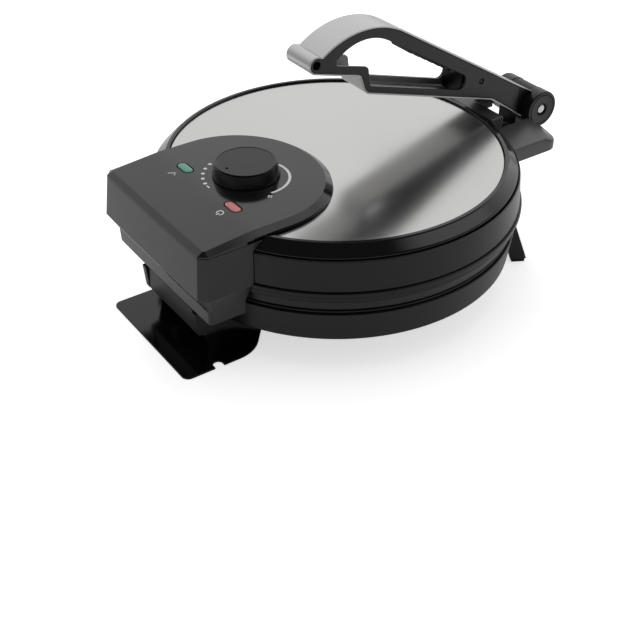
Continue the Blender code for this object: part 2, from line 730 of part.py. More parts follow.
def make_lower_heater():
    under = LOWER_PLATE_TOP_Z - PLATE_THICKNESS - SEAT_GAP
    ring = tube(element_path(), ELEMENT_TUBE_RADIUS, ELEMENT_SIDES)
    centre = under - ELEMENT_TUBE_RADIUS
    add_mesh("lower_heating_element", ring, "heating_tube", "base", (0, 0, centre))
    top = centre - ELEMENT_TUBE_RADIUS - SEAT_GAP
    add_mesh("lower_heat_shield", shield(top, top - SHIELD_THICKNESS, BASE_BOTTOM_Z),
             "galvanised_steel", "base")


def shield(level, far, rim):
    """A sheet dish between two levels, with its rim turned to a third one."""
    return revolve([
        (SHIELD_HOLE_RADIUS, level), (SHIELD_RADIUS, level), (SHIELD_RADIUS, rim),
        (SHIELD_RADIUS - SHIELD_THICKNESS, rim), (SHIELD_RADIUS - SHIELD_THICKNESS, far),
        (SHIELD_HOLE_RADIUS, far)], INNER_STEPS)


def make_terminal_block():
    low = (-TERMINAL_LENGTH / 2, TERMINAL_PLACE - TERMINAL_WIDTH / 2, BASE_BOTTOM_Z)
    high = (TERMINAL_LENGTH / 2, TERMINAL_PLACE + TERMINAL_WIDTH / 2, BASE_BOTTOM_Z + TERMINAL_HEIGHT)
    block = add_mesh("terminal_block", box(low, high), "white_ceramic", "base")
    edge = block.modifiers.new("edge", "BEVEL")
    edge.width = TERMINAL_EDGE
    edge.segments = 1


def make_gland():
    turn = math.pi / 2 - GLAND_TURN
    wall = base_wall(GLAND_Z)
    section = [
        (GLAND_BORE_RADIUS, -BASE_WALL - GLAND_COLLAR), (GLAND_RADIUS, -BASE_WALL - GLAND_COLLAR),
        (GLAND_RADIUS, GLAND_STANDOFF), (GLAND_COLLAR_RADIUS, GLAND_STANDOFF),
        (GLAND_COLLAR_RADIUS, GLAND_STANDOFF + GLAND_COLLAR), (GLAND_RADIUS, GLAND_STANDOFF + GLAND_COLLAR),
        (GLAND_BORE_RADIUS + GLAND_TIP_WALL, GLAND_REACH), (GLAND_BORE_RADIUS, GLAND_REACH),
    ]
    place = (wall * math.cos(turn), wall * math.sin(turn), GLAND_Z)
    gland = turned_on_x(section, SMALL_STEPS)
    add_mesh("cord_inlet_gland", gland, "black_rubber", "base", place, (0, 0, turn))


def base_wall(level):
    """Outer radius of the base shell at a level."""
    share = (level - BASE_BOTTOM_Z) / BASE_HEIGHT
    return BASE_BOTTOM_RADIUS + (BASE_TOP_RADIUS - BASE_BOTTOM_RADIUS) * share


def make_front_feet():
    seat = base_wall(FOOT_TOP_Z) + SEAT_GAP
    low = FOOT_PAD_HEIGHT + SEAT_GAP
    outline = [(-seat, FOOT_TOP_Z), (-BASE_BOTTOM_RADIUS - SEAT_GAP, BASE_BOTTOM_Z),
               (-FOOT_INNER_RADIUS, low),
               (-FOOT_OUTER_RADIUS, low), (-seat - FOOT_TOP_THICKNESS, FOOT_TOP_Z)]
    for side, name in ((-1, "left"), (1, "right")):
        foot = prism(outline, -FOOT_WIDTH / 2, FOOT_WIDTH / 2, "X")
        for vert in foot.verts:
            if vert.co.z < BASE_BOTTOM_Z / 2:
                vert.co.x *= FOOT_TIP_WIDTH / FOOT_WIDTH
        leg = add_mesh(f"front_foot_{name}", foot, "satin_black_plastic", "base",
                       (0, 0, 0), (0, 0, side * FOOT_TURN))
        edge = leg.modifiers.new("edge", "BEVEL")
        edge.width = FOOT_PAD_INSET
        edge.segments = 1
        pad_half = FOOT_TIP_WIDTH / 2 - FOOT_PAD_INSET
        pad_low = (-pad_half, -FOOT_OUTER_RADIUS + FOOT_PAD_INSET, 0)
        pad_high = (pad_half, -FOOT_INNER_RADIUS - FOOT_PAD_INSET, FOOT_PAD_HEIGHT)
        add_mesh(f"foot_pad_{name}", box(pad_low, pad_high), "black_rubber", "base",
                 (0, 0, 0), (0, 0, side * FOOT_TURN))


# Stand and hinge tower

def make_stand():
    half = STAND_HALF_WIDTH
    side = [
        (half, STAND_REAR, STAND_CORNER), (half, STAND_WAIST_START, STAND_WAIST_CORNER),
        (STAND_NECK_HALF_WIDTH, STAND_WAIST_END, STAND_NECK_CORNER),
        (STAND_NECK_HALF_WIDTH, STAND_FRONT, STAND_CORNER),
    ]
    corners = [(x, y) for x, y, _ in side] + [(-x, y) for x, y, _ in reversed(side)]
    radii = [r for _, _, r in side] + [r for _, _, r in reversed(side)]
    plate = prism(rounded(corners, radii), 0, STAND_SHEET)
    stand = add_mesh("stand_plate", plate, "black_steel", "base")
    flange = [
        (STAND_FLANGE_FRONT, STAND_SHEET / 2), (STAND_FLANGE_FRONT, TOWER_BOTTOM_Z - SEAT_GAP),
        (STAND_FLANGE_REAR, TOWER_BOTTOM_Z - SEAT_GAP),
        (STAND_FLANGE_REAR - STAND_FLANGE_SLOPE, STAND_SHEET / 2),
    ]
    middle = TOWER_HALF_WIDTH - TOWER_CHEEK / 2
    for side_sign in (-1, 1):
        place = side_sign * middle
        sheet = prism(flange, place - STAND_SHEET / 2, place + STAND_SHEET / 2, "X")
        fuse(stand, add_mesh(f"stand_flange_{side_sign + 2}", sheet, None, "base"))
    slot = prism(obround(2 * STAND_NOTCH_DEPTH, STAND_NOTCH_WIDTH, SLOT_STEPS),
                 -CUT_OVERRUN, STAND_SHEET + CUT_OVERRUN)
    cut(stand, add_mesh("stand_notch", slot, None, "base", (-half, STAND_NOTCH_PLACE, 0)))


def arc_points(centre, radius, start, end, parts):
    points = []
    for part in range(parts + 1):
        angle = start + (end - start) * part / parts
        points.append((centre[0] + radius * math.cos(angle), centre[1] + radius * math.sin(angle)))
    return points


def make_tower():
    inner = TOWER_HALF_WIDTH - TOWER_CHEEK
    front = math.sqrt(BASE_TOP_RADIUS ** 2 - inner ** 2) + TOWER_FRONT_CLEAR
    neck = front + TOWER_NECK
    shelf = HINGE_Z - TOWER_ROOM
    knuckle = arc_points((HINGE_Y, HINGE_Z), HINGE_KNUCKLE_RADIUS,
                         KNUCKLE_START, KNUCKLE_END, KNUCKLE_STEPS)
    under_base = BASE_BOTTOM_Z - SEAT_GAP - COVER_THICKNESS - RUN_GAP
    outline = [
        (TOWER_FOOT_REACH, TOWER_BOTTOM_Z), (STAND_FLANGE_REAR, TOWER_BOTTOM_Z),
        (TOWER_REAR - TOWER_REAR_SLOPE, TOWER_BOTTOM_Z + TOWER_REAR_SLOPE),
        (TOWER_REAR, shelf), (neck, shelf), (neck, HINGE_Z - HINGE_KNUCKLE_RADIUS),
        *knuckle, (front, BASE_TOP_Z + SKIRT_GAP / 2), (front, under_base), (TOWER_FOOT_REACH, under_base),
    ]
    tower = add_mesh("hinge_tower", prism(outline, inner, TOWER_HALF_WIDTH, "X"),
                     "satin_black_plastic", "base")
    other = prism(outline, -TOWER_HALF_WIDTH, -inner, "X")
    web_rear = TOWER_REAR - TOWER_REAR_SLOPE - SEAT_GAP
    web = box((-inner - CUT_OVERRUN, web_rear - TOWER_WEB, TOWER_BOTTOM_Z + TOWER_REAR_SLOPE + SEAT_GAP),
              (inner + CUT_OVERRUN, web_rear, shelf - SEAT_GAP))
    fuse(tower, add_mesh("tower_web", web, None, "base"))
    fuse(tower, add_mesh("tower_other_cheek", other, None, "base"))
    bore = rod(HINGE_PIN_RADIUS + RUN_GAP, -TOWER_HALF_WIDTH - CUT_OVERRUN,
               TOWER_HALF_WIDTH + CUT_OVERRUN, SMALL_STEPS, "X")
    cut(tower, add_mesh("tower_bore", bore, None, "base", (0, HINGE_Y, HINGE_Z)))
    pin = rod(HINGE_PIN_RADIUS, -TOWER_HALF_WIDTH - HINGE_PIN_OVERHANG,
              TOWER_HALF_WIDTH + HINGE_PIN_OVERHANG, SMALL_STEPS, "X")
    add_mesh("lid_hinge_pin", pin, "galvanised_steel", "base", (0, HINGE_Y, HINGE_Z))


# Lid

def make_lid_skirt():
    lower = SKIRT_BOTTOM_Z + SKIRT_HEIGHT * SKIRT_LOWER_GROOVE_SHARE
    upper = SKIRT_BOTTOM_Z + SKIRT_HEIGHT * SKIRT_UPPER_GROOVE_SHARE
    section = [
        (SKIRT_INNER_RADIUS - SKIRT_LEDGE, SKIRT_BOTTOM_Z), (SKIRT_BOTTOM_RADIUS, SKIRT_BOTTOM_Z),
        (SKIRT_MIDDLE_RADIUS, lower), (SKIRT_MIDDLE_RADIUS - SKIRT_GROOVE, lower),
        (SKIRT_MIDDLE_RADIUS - SKIRT_GROOVE, lower + SKIRT_GROOVE_HEIGHT),
        (SKIRT_BAND_RADIUS, lower + SKIRT_GROOVE_HEIGHT), (SKIRT_BAND_RADIUS, upper),
        (SKIRT_BAND_RADIUS - SKIRT_GROOVE, upper),
        (SKIRT_BAND_RADIUS - SKIRT_GROOVE, upper + SKIRT_GROOVE_HEIGHT),
        (BODY_RADIUS, upper + SKIRT_GROOVE_HEIGHT), (BODY_RADIUS, SKIRT_TOP_Z),
        (SKIRT_INNER_RADIUS, SKIRT_TOP_Z), (SKIRT_INNER_RADIUS, SKIRT_BOTTOM_Z + SKIRT_LEDGE_HEIGHT),
        (SKIRT_INNER_RADIUS - SKIRT_LEDGE, SKIRT_BOTTOM_Z + SKIRT_LEDGE_HEIGHT),
    ]
    add_mesh("lid_skirt", revolve(section, OUTER_STEPS), "satin_black_plastic", "lid")


def make_lid_rim():
    ledge = RIM_TOP_Z - RIM_LEDGE_DROP
    under = ledge - RIM_LEDGE_HEIGHT
    section = [
        (RIM_BOTTOM_RADIUS, RIM_BOTTOM_Z), (RIM_SHOULDER_RADIUS, RIM_SHOULDER_Z),
        (RIM_BEAD_RADIUS, RIM_TOP_Z), (RIM_BEAD_RADIUS - RIM_BEAD_HEIGHT / 2, RIM_BEAD_Z),
        (RIM_BEAD_INNER, RIM_BEAD_Z), (RIM_BEAD_INNER, ledge),
        (RIM_BEAD_INNER - RIM_LEDGE_WIDTH, ledge), (RIM_BEAD_INNER - RIM_LEDGE_WIDTH, under),
        (RIM_BEAD_INNER, under), (RIM_SHOULDER_RADIUS - RIM_WALL, RIM_SHOULDER_Z - RIM_LEDGE_HEIGHT),
        (RIM_BOTTOM_RADIUS - RIM_WALL, RIM_BOTTOM_Z),
    ]
    add_mesh("lid_rim", revolve(section, OUTER_STEPS), "gloss_black_plastic", "lid")


def make_steel_cover():
    top = []
    under = []
    for ring in range(COVER_CROWN_RINGS + 1):
        share = ring / COVER_CROWN_RINGS
        rise = COVER_CROWN * (1 - share ** 2)
        top.append((STEEL_RADIUS * share, STEEL_Z + COVER_SHEET + rise))
        under.append((STEEL_RADIUS * share, STEEL_Z + rise))
    sheet = revolve(top + under[::-1], OUTER_STEPS)
    cover = add_mesh("lid_steel_cover", sheet, "brushed_steel", "lid")
    holes = [("shaft", 0, KNOB_PLACE, COVER_SHAFT_HOLE_RADIUS),
             ("ready", LAMP_HALF_SPACING, LAMP_PLACE, COVER_LAMP_HOLE_RADIUS),
             ("power", -LAMP_HALF_SPACING, LAMP_PLACE, COVER_LAMP_HOLE_RADIUS)]
    for name, x, y, radius in holes:
        hole = rod(radius, STEEL_Z - CUT_OVERRUN, STEEL_TOP_Z + CUT_OVERRUN, SMALL_STEPS)
        cut(cover, add_mesh(f"cover_hole_{name}", hole, None, "lid", (x, y, 0)))


def make_upper_plate():
    flange = SKIRT_INNER_RADIUS - RUN_GAP
    seat = SKIRT_BOTTOM_Z + SKIRT_LEDGE_HEIGHT + SEAT_GAP
    body = SKIRT_INNER_RADIUS - SKIRT_LEDGE - PLATE_BODY_INSET / 2
    top = UPPER_PLATE_Z + PLATE_THICKNESS
    section = [(0, UPPER_PLATE_Z), (body, UPPER_PLATE_Z), (body, seat), (flange, seat),
               (flange, seat + PLATE_FLANGE), (body, seat + PLATE_FLANGE), (body, top), (0, top)]
    add_mesh("upper_cooking_plate", revolve(section, OUTER_STEPS), "coated_plate", "lid")
    centre = top + SEAT_GAP + ELEMENT_TUBE_RADIUS
    ring = tube(element_path(), ELEMENT_TUBE_RADIUS, ELEMENT_SIDES)
    add_mesh("upper_heating_element", ring, "heating_tube", "lid", (0, 0, centre))
    level = centre + ELEMENT_TUBE_RADIUS + SEAT_GAP
    far = level + SHIELD_THICKNESS
    add_mesh("upper_heat_shield", shield(level, far, level + SHIELD_RIM), "galvanised_steel", "lid")
    return far


def box_outline(half, rear, corner, roundness, inset=0.0):
    """Outline of the control box; roundness 1 rounds its rear corners and 0 chamfers them."""
    half -= inset
    rear -= inset
    front = BOX_FRONT
    edge = rear - BOX_BULGE
    right = [(half, front)]
    for step in range(BOX_CORNER_STEPS + 1):
        share = step / BOX_CORNER_STEPS
        angle = share * math.pi / 2
        arc = (half - corner + corner * math.cos(angle), edge - corner + corner * math.sin(angle))
        flat = (half - corner * share, edge - corner + corner * share)
        right.append(tuple(roundness * a + (1 - roundness) * b for a, b in zip(arc, flat)))
    end = half - corner
    for step in range(1, BOX_EDGE_STEPS // 2):
        x = end * (1 - 2 * step / BOX_EDGE_STEPS)
        right.append((x, edge + BOX_BULGE * (1 - (x / end) ** 2)))
    left = [(-x, y) for x, y in reversed(right)]
    return right + [(0, rear)] + left


def make_control_housing():
    levels = [
        (BOX_BOTTOM_Z, BOX_LOWER_HALF_WIDTH, BOX_LOWER_REAR, BOX_LOWER_CORNER, 1),
        (BOX_SLOPE_Z, BOX_LOWER_TOP_HALF_WIDTH, BOX_LOWER_TOP_REAR, BOX_LOWER_CORNER, 1),
        (BOX_STEP_Z, BOX_HALF_WIDTH, BOX_REAR, BOX_CHAMFER, 0),
        (BOX_TOP_Z, BOX_TOP_HALF_WIDTH, BOX_TOP_REAR, BOX_CHAMFER, 0),
    ]
    outer = loft([(z, box_outline(h, r, c, n)) for z, h, r, c, n in levels])
    shifts = (-CUT_OVERRUN, 0, 0, CUT_OVERRUN)
    hollow = []
    for (z, half, rear, corner, roundness), shift in zip(levels, shifts):
        outline = box_outline(half, rear, corner, roundness, BOX_WALL)
        outline = [(x, y - CUT_OVERRUN if y == BOX_FRONT else y) for x, y in outline]
        hollow.append((z + shift, outline))
    housing = add_mesh("control_housing", outer, "satin_black_plastic", "lid")
    cut(housing, add_mesh("housing_hollow", loft(hollow), None, "lid"))
    body = body_clearance(BOX_BOTTOM_Z - CUT_OVERRUN)
    cut(housing, add_mesh("housing_body_clearance", body, None, "lid"))


def body_clearance(low):
    """The space from a level up that the skirt and rim take, with a seat gap all over them."""
    slope = RIM_TAPER / (RIM_SHOULDER_Z + SEAT_GAP - RIM_BOTTOM_Z)
    start = max(low, RIM_BOTTOM_Z)
    wall = RIM_BOTTOM_RADIUS - slope * (start - RIM_BOTTOM_Z) + 2 * SEAT_GAP
    section = [(0, low)]
    if low < RIM_BOTTOM_Z:
        section += [(BODY_CLEAR_RADIUS, low), (BODY_CLEAR_RADIUS, RIM_BOTTOM_Z)]
    section += [(wall, start), (RIM_SHOULDER_RADIUS + 2 * SEAT_GAP, RIM_SHOULDER_Z + SEAT_GAP),
                (RIM_BEAD_RADIUS + SEAT_GAP, RIM_TOP_Z + 2 * SEAT_GAP), (0, RIM_TOP_Z + 2 * SEAT_GAP)]
    return revolve(section, OUTER_STEPS)


def panel_outline(half, rear, tongue, corner):
    """Outline of the panel: square at the rear, running into a flattened round tongue."""
    right = []
    edge = rear - BOX_BULGE
    for step in range(1, BOX_EDGE_STEPS // 2):
        x = (half - corner) * 2 * step / BOX_EDGE_STEPS
        right.append((x, edge + BOX_BULGE * (1 - (x / (half - corner)) ** 2)))
    right.append((half - corner, edge))
    right.append((half, edge - corner))
    for step in range(BOX_CORNER_STEPS):
        share = step / BOX_CORNER_STEPS
        y = TONGUE_CENTRE + TONGUE_BLEND * (1 - share)
        swell = (1 - math.cos(math.pi * share)) / 2
        right.append((half + (tongue - half) * swell, y))
    ahead = tongue - TONGUE_FLATTENING
    for step in range(TONGUE_STEPS // 2):
        angle = math.pi / 2 * step / (TONGUE_STEPS // 2)
        right.append((tongue * math.cos(angle), TONGUE_CENTRE - ahead * math.sin(angle)))
    left = [(-x, y) for x, y in reversed(right)]
    return [(0, rear)] + right + [(0, TONGUE_CENTRE - ahead)] + left


def panel_fall(y):
    """How far the panel has fallen at a place, as a share of its fall at the rear."""
    start = TONGUE_CENTRE + TONGUE_BLEND
    return max(y - start, 0) / (BOX_TOP_REAR - start)


def make_control_panel():
    half = BOX_TOP_HALF_WIDTH
    rear = BOX_TOP_REAR
    top_half = half - PANEL_BEVEL_WIDTH
    outlines = [
        (PANEL_BOTTOM_Z, 0, half, rear, half + TONGUE_FLARE, BOX_CHAMFER),
        (PANEL_CREASE_Z, PANEL_CREASE_FALL, half, rear, half, BOX_CHAMFER),
        (PANEL_TOP_Z, PANEL_FALL, top_half, rear - PANEL_BEVEL_WIDTH, top_half, PANEL_CORNER),
    ]
    cap = bmesh.new()
    rings = []
    for level, fall, half, rear, tongue, corner in outlines:
        outline = panel_outline(half, rear, tongue, corner)
        rings.append([cap.verts.new((x, y, level - fall * panel_fall(y))) for x, y in outline])
    for lower, upper in zip(rings, rings[1:]):
        join_rings(cap, lower, upper)
    cap.faces.new(rings[0])
    top = rings[-1]
    last = len(top)
    cap.faces.new((top[0], top[1], top[-1]))
    for index in range(1, last // 2 - 1):
        cap.faces.new((top[index], top[index + 1], top[last - index - 1], top[last - index]))
    cap.faces.new((top[last // 2 - 1], top[last // 2], top[last // 2 + 1]))
    bmesh.ops.triangulate(cap, faces=cap.faces)
    panel = add_mesh("control_panel", cap, "panel_plastic", "lid")
    inside = RIM_BEAD_INNER - SEAT_GAP
    under = revolve([(0, PANEL_BOTTOM_Z - CUT_OVERRUN), (BODY_CLEAR_RADIUS, PANEL_BOTTOM_Z - CUT_OVERRUN),
                     (BODY_CLEAR_RADIUS, RIM_BEAD_Z + SEAT_GAP), (inside, RIM_BEAD_Z + SEAT_GAP),
                     (inside, PANEL_UNDER_Z), (0, PANEL_UNDER_Z)], OUTER_STEPS)
    cut(panel, add_mesh("panel_underside", under, None, "lid"))
    bush = rod(SHAFT_BUSH_RADIUS + SEAT_GAP, PANEL_BOTTOM_Z - CUT_OVERRUN,
               PANEL_TOP_Z + CUT_OVERRUN, SMALL_STEPS)
    cut(panel, add_mesh("panel_shaft_hole", bush, None, "lid", (0, KNOB_PLACE, 0)))
    for side, name in ((1, "ready"), (-1, "power")):
        window = obround(LENS_LENGTH + 2 * SEAT_GAP, LENS_WIDTH + 2 * SEAT_GAP, LENS_STEPS)
        place = (side * LAMP_HALF_SPACING, LAMP_PLACE, 0)
        hole = prism(window, PANEL_BOTTOM_Z - CUT_OVERRUN, PANEL_TOP_Z + CUT_OVERRUN)
        cut(panel, add_mesh(f"panel_window_{name}", hole, None, "lid", place))


def make_lamps():
    finishes = {"ready": "green_lens", "power": "red_lens"}
    for side, name in ((1, "ready"), (-1, "power")):
        place = (side * LAMP_HALF_SPACING, LAMP_PLACE, 0)
        wide = obround(LENS_LENGTH, LENS_WIDTH, LENS_STEPS)
        narrow = obround(LENS_LENGTH - 2 * LENS_RISE, LENS_WIDTH - 2 * LENS_RISE, LENS_STEPS)
        levels = [(PANEL_UNDER_Z, wide), (PANEL_TOP_Z, wide), (PANEL_TOP_Z + LENS_RISE, narrow)]
        add_mesh(f"{name}_lens", loft(levels), finishes[name], "lid", place)
        top = PANEL_UNDER_Z - SEAT_GAP
        holder = revolve([(0, top), (LAMP_RADIUS, top), (LAMP_RADIUS, top - LAMP_LENGTH),
                          (0, top - LAMP_LENGTH)], SMALL_STEPS // 2)
        add_mesh(f"{name}_lamp", holder, "white_ceramic", "lid", place)


def make_thermostat(floor):
    seat = floor + SEAT_GAP
    body_top = seat + THERMOSTAT_HEIGHT
    bush_top = PANEL_TOP_Z - PANEL_CLEAR
    bore = SHAFT_RADIUS + RUN_GAP
    section = [(0, seat), (THERMOSTAT_RADIUS, seat), (THERMOSTAT_RADIUS, body_top),
               (SHAFT_BUSH_RADIUS, body_top), (SHAFT_BUSH_RADIUS, bush_top), (bore, bush_top),
               (bore, body_top - CUT_OVERRUN), (0, body_top - CUT_OVERRUN)]
    add_mesh("thermostat", revolve(section, SMALL_STEPS), "galvanised_steel", "lid", (0, KNOB_PLACE, 0))
    foot = PANEL_TOP_Z + RUN_GAP
    top = foot + KNOB_HEIGHT
    socket = SHAFT_RADIUS + SEAT_GAP
    knob = [(socket, foot), (KNOB_FOOT_RADIUS, foot), (KNOB_FOOT_RADIUS, foot + KNOB_EDGE),
            (KNOB_TOP_RADIUS, top - KNOB_EDGE), (KNOB_TOP_RADIUS - KNOB_EDGE, top), (0, top),
            (0, foot + KNOB_SOCKET_DEPTH), (socket, foot + KNOB_SOCKET_DEPTH)]
    add_mesh("thermostat_knob", revolve(knob, INNER_STEPS), "knob_plastic", "knob", (0, KNOB_PLACE, 0))
    shaft = rod(SHAFT_RADIUS, body_top - CUT_OVERRUN + RUN_GAP,
                foot + KNOB_SOCKET_DEPTH - SEAT_GAP, SMALL_STEPS // 2)
    add_mesh("thermostat_shaft", shaft, "galvanised_steel", "knob", (0, KNOB_PLACE, 0))


def make_lid_hinge():
    outer = TOWER_HALF_WIDTH - TOWER_CHEEK - RUN_GAP * 2
    web_front = BODY_CLEAR_RADIUS + SEAT_GAP
    web_back = web_front + LUG_WEB
    web_low = HINGE_Z + HINGE_KNUCKLE_RADIUS
    web = add_mesh("lid_hinge_bracket",
                   box((-outer, web_front, web_low), (outer, web_back, LUG_WEB_TOP)),
                   "galvanised_steel", "lid")
    for side in (-1, 1):
        inner = outer - LUG_THICKNESS
        eye = arc_points((HINGE_Y, HINGE_Z), HINGE_KNUCKLE_RADIUS, -math.pi, 0, LUG_STEPS)
        outline = [(web_front - SEAT_GAP, web_low + LUG_WEB * 2), *eye,
                   (HINGE_Y + HINGE_KNUCKLE_RADIUS, web_low + LUG_WEB * 2)]
        low, high = sorted((side * inner, side * (outer + SEAT_GAP)))
        fuse(web, add_mesh(f"hinge_lug_{side + 2}", prism(outline, low, high, "X"), None, "lid"))
    bore = rod(HINGE_PIN_RADIUS + RUN_GAP, -outer - CUT_OVERRUN, outer + CUT_OVERRUN, SMALL_STEPS, "X")
    cut(web, add_mesh("lug_bore", bore, None, "lid", (0, HINGE_Y, HINGE_Z)))


# Front tab and handle bracket

def tab_outline(reach, half, corner):
    """Plan of the tab: straight sides and a front that follows the round body."""
    side_end = -math.sqrt(reach ** 2 - half ** 2) + corner
    blend = math.asin((half - corner) / reach)
    points = [(half, -TAB_ROOT), (half, side_end)]
    for step in range(TAB_ARC_STEPS + 1):
        angle = blend * (1 - 2 * step / TAB_ARC_STEPS)
        points.append((reach * math.sin(angle), -reach * math.cos(angle)))
    points += [(-half, side_end), (-half, -TAB_ROOT)]
    return points


def make_front_tab():
    wide = tab_outline(TAB_REACH, TAB_HALF_WIDTH, TAB_CORNER)
    narrow = tab_outline(TAB_REACH - TAB_CHAMFER_WIDTH, TAB_HALF_WIDTH - RUN_GAP, TAB_CORNER)
    block = loft([(TAB_BOTTOM_Z, wide), (TAB_TOP_Z - TAB_CHAMFER_DROP, wide), (TAB_TOP_Z, narrow)])
    tab = add_mesh("front_tab", block, "satin_black_plastic", "lid")
    slot = box((-TAB_SLOT_HALF_WIDTH, -TAB_REACH - CUT_OVERRUN, TAB_BOTTOM_Z - CUT_OVERRUN),
               (TAB_SLOT_HALF_WIDTH, -TAB_ROOT + CUT_OVERRUN, TAB_TOP_Z + CUT_OVERRUN))
    cut(tab, add_mesh("tab_slot", slot, None, "lid"))
    pad_low = (-TAB_PAD_HALF_WIDTH, -TAB_SLOT_END, BRACKET_FLANGE_TOP_Z + 2 * SEAT_GAP)
    pad = box(pad_low, (TAB_PAD_HALF_WIDTH, -TAB_PAD_INNER, TAB_PAD_TOP_Z))
    fuse(tab, add_mesh("tab_pad", pad, None, "lid"))
    cut(tab, add_mesh("tab_rim_clearance", body_clearance(TAB_BOTTOM_Z - CUT_OVERRUN), None, "lid"))


def strap_line(distance):
    """Height of the strap's lower face near the barrel, at a distance in front of the axis."""
    heel = reach(HEEL_SHARES)
    foot = ROOT_FOOT
    slope = (heel[1] - foot[1]) / (heel[0] - foot[0])
    return PIVOT_Z + foot[1] + slope * (PIVOT_REACH - distance - foot[0])


def make_handle_bracket():
    radius = BARREL_RADIUS - BRACKET_KNUCKLE_MARGIN
    pivot = (-PIVOT_REACH, PIVOT_Z)
    flange_back = BODY_CLEAR_RADIUS + SEAT_GAP
    ledge = strap_line(BRACKET_LEDGE_REAR) - RUN_GAP
    ledge_front = strap_line(BRACKET_RISER_REAR) - RUN_GAP
    corners = [
        (-flange_back - BRACKET_FLANGE / 2, BRACKET_FLOOR_Z),
        (-BRACKET_RISER_FRONT, BRACKET_FLOOR_Z),
        (-BRACKET_RISER_FRONT, PIVOT_Z - BARREL_RADIUS / 2),
        (-BRACKET_RISER_REAR, PIVOT_Z - BARREL_RADIUS / 2),
        (-BRACKET_RISER_REAR, ledge_front), (-BRACKET_LEDGE_REAR, ledge),
        (-BRACKET_LEDGE_REAR, BRACKET_FLOOR_TOP_Z),
        (-flange_back - BRACKET_FLANGE / 2, BRACKET_FLOOR_TOP_Z),
    ]
    radii = [0, BRACKET_CORNER, 0, 0, 0, 0, BRACKET_CORNER / 2, 0]
    half = KNUCKLE_HALF_WIDTH
    bracket = add_mesh("handle_bracket", prism(rounded(corners, radii), -half, half, "X"),
                       "satin_black_plastic", "lid")
    knuckle = rod(radius, -half - BRACKET_FUSE_OVERLAP, half + BRACKET_FUSE_OVERLAP, INNER_STEPS, "X")
    fuse(bracket, add_mesh("bracket_knuckle", knuckle, None, "lid", (0, *pivot)))
    flange = box((-BRACKET_FLANGE_HALF_WIDTH, -flange_back - BRACKET_FLANGE, BRACKET_FLANGE_BOTTOM_Z),
                 (BRACKET_FLANGE_HALF_WIDTH, -flange_back, BRACKET_FLANGE_TOP_Z))
    fuse(bracket, add_mesh("bracket_flange", flange, None, "lid"))
    bore = rod(PIVOT_PIN_RADIUS + RUN_GAP, -half - CUT_OVERRUN, half + CUT_OVERRUN, SMALL_STEPS, "X")
    cut(bracket, add_mesh("bracket_bore", bore, None, "lid", (0, *pivot)))
    face = BARREL_HALF_LENGTH - PIVOT_WELL_MARGIN
    inner = face - PIVOT_HEAD_DEPTH
    pin = [(0, -face), (PIVOT_HEAD_RADIUS - BARREL_EDGE / 2, -face),
           (PIVOT_HEAD_RADIUS, -face + BARREL_EDGE / 2),
           (PIVOT_HEAD_RADIUS, -inner), (PIVOT_PIN_RADIUS, -inner), (PIVOT_PIN_RADIUS, inner),
           (PIVOT_HEAD_RADIUS, inner), (PIVOT_HEAD_RADIUS, face - BARREL_EDGE / 2),
           (PIVOT_HEAD_RADIUS - BARREL_EDGE / 2, face), (0, face)]
    add_mesh("handle_pivot_bolt", turned_on_x(pin, SMALL_STEPS), "zinc_screw", "lid", (0, *pivot))


# Press handle, drawn in (y, z) from the pivot

def reach(shares):
    return (shares[0] * HANDLE_REACH, shares[1] * HANDLE_REACH)


def nose_corners():
    """The crease, then two corners whose rounding follows the nose down to the step."""
    centre = Vector(reach(NOSE_SHARES))
    away = NOSE_RADIUS * CREASE_STANDOFF_SHARE
    crease = centre + Vector((math.cos(CREASE_TURN), math.sin(CREASE_TURN))) * away
    first = CREASE_TURN - math.acos(NOSE_RADIUS / away)
    run = Vector(reach(STEP_TOP_SHARES)) - centre
    last = math.atan2(run.y, run.x) + math.acos(NOSE_RADIUS / run.length)
    spread = (first - last) / 4
    corners = [tuple(crease)]
    for angle in (first - spread, last + spread):
        corner = centre + Vector((math.cos(angle), math.sin(angle))) * NOSE_RADIUS / math.cos(spread)
        corners.append(tuple(corner))
    return corners


def strap_profile(offset, closed=True):
    """Outline of the strap's outside, moved outwards by an offset."""
    corners = [ROOT_TOP, reach(ARCH_SHARES), *nose_corners(),
               reach(STEP_TOP_SHARES), reach(STEP_FOOT_SHARES), reach(HEEL_SHARES), ROOT_FOOT]
    radii = [0, ARCH_RADIUS_SHARE * HANDLE_REACH, CREASE_RADIUS, NOSE_RADIUS, NOSE_RADIUS,
             STEP_TOP_RADIUS, STEP_FOOT_RADIUS, HEEL_RADIUS, 0]
    return rounded(corners, radii, offset, closed)


def extend_to_barrel(points):
    """Carry both ends of a strap outline on until they meet the barrel."""
    clear = BARREL_RADIUS + SEAT_GAP
    for end, before in ((0, 1), (-1, -2)):
        start = Vector(points[end])
        run = (start - Vector(points[before])).normalized()
        ahead = -start.dot(run)
        miss = start.length_squared - ahead ** 2
        points[end] = tuple(start + run * (ahead - math.sqrt(clear ** 2 - miss)))
    return points


def make_strap():
    outer = extend_to_barrel(strap_profile(0, closed=False))
    inner = extend_to_barrel(strap_profile(-STRAP_THICKNESS, closed=False))
    add_mesh("handle_strap", prism(outer + inner[::-1], -HANDLE_HALF_WIDTH, HANDLE_HALF_WIDTH, "X"),
             "handle_steel", "handle", (0, -PIVOT_REACH, PIVOT_Z))


def hole_outline():
    corners = [reach(shares) for shares in HOLE_SHARES]
    radii = [share * HANDLE_REACH for share in HOLE_RADIUS_SHARES]
    return rounded(corners[::-1], radii[::-1])


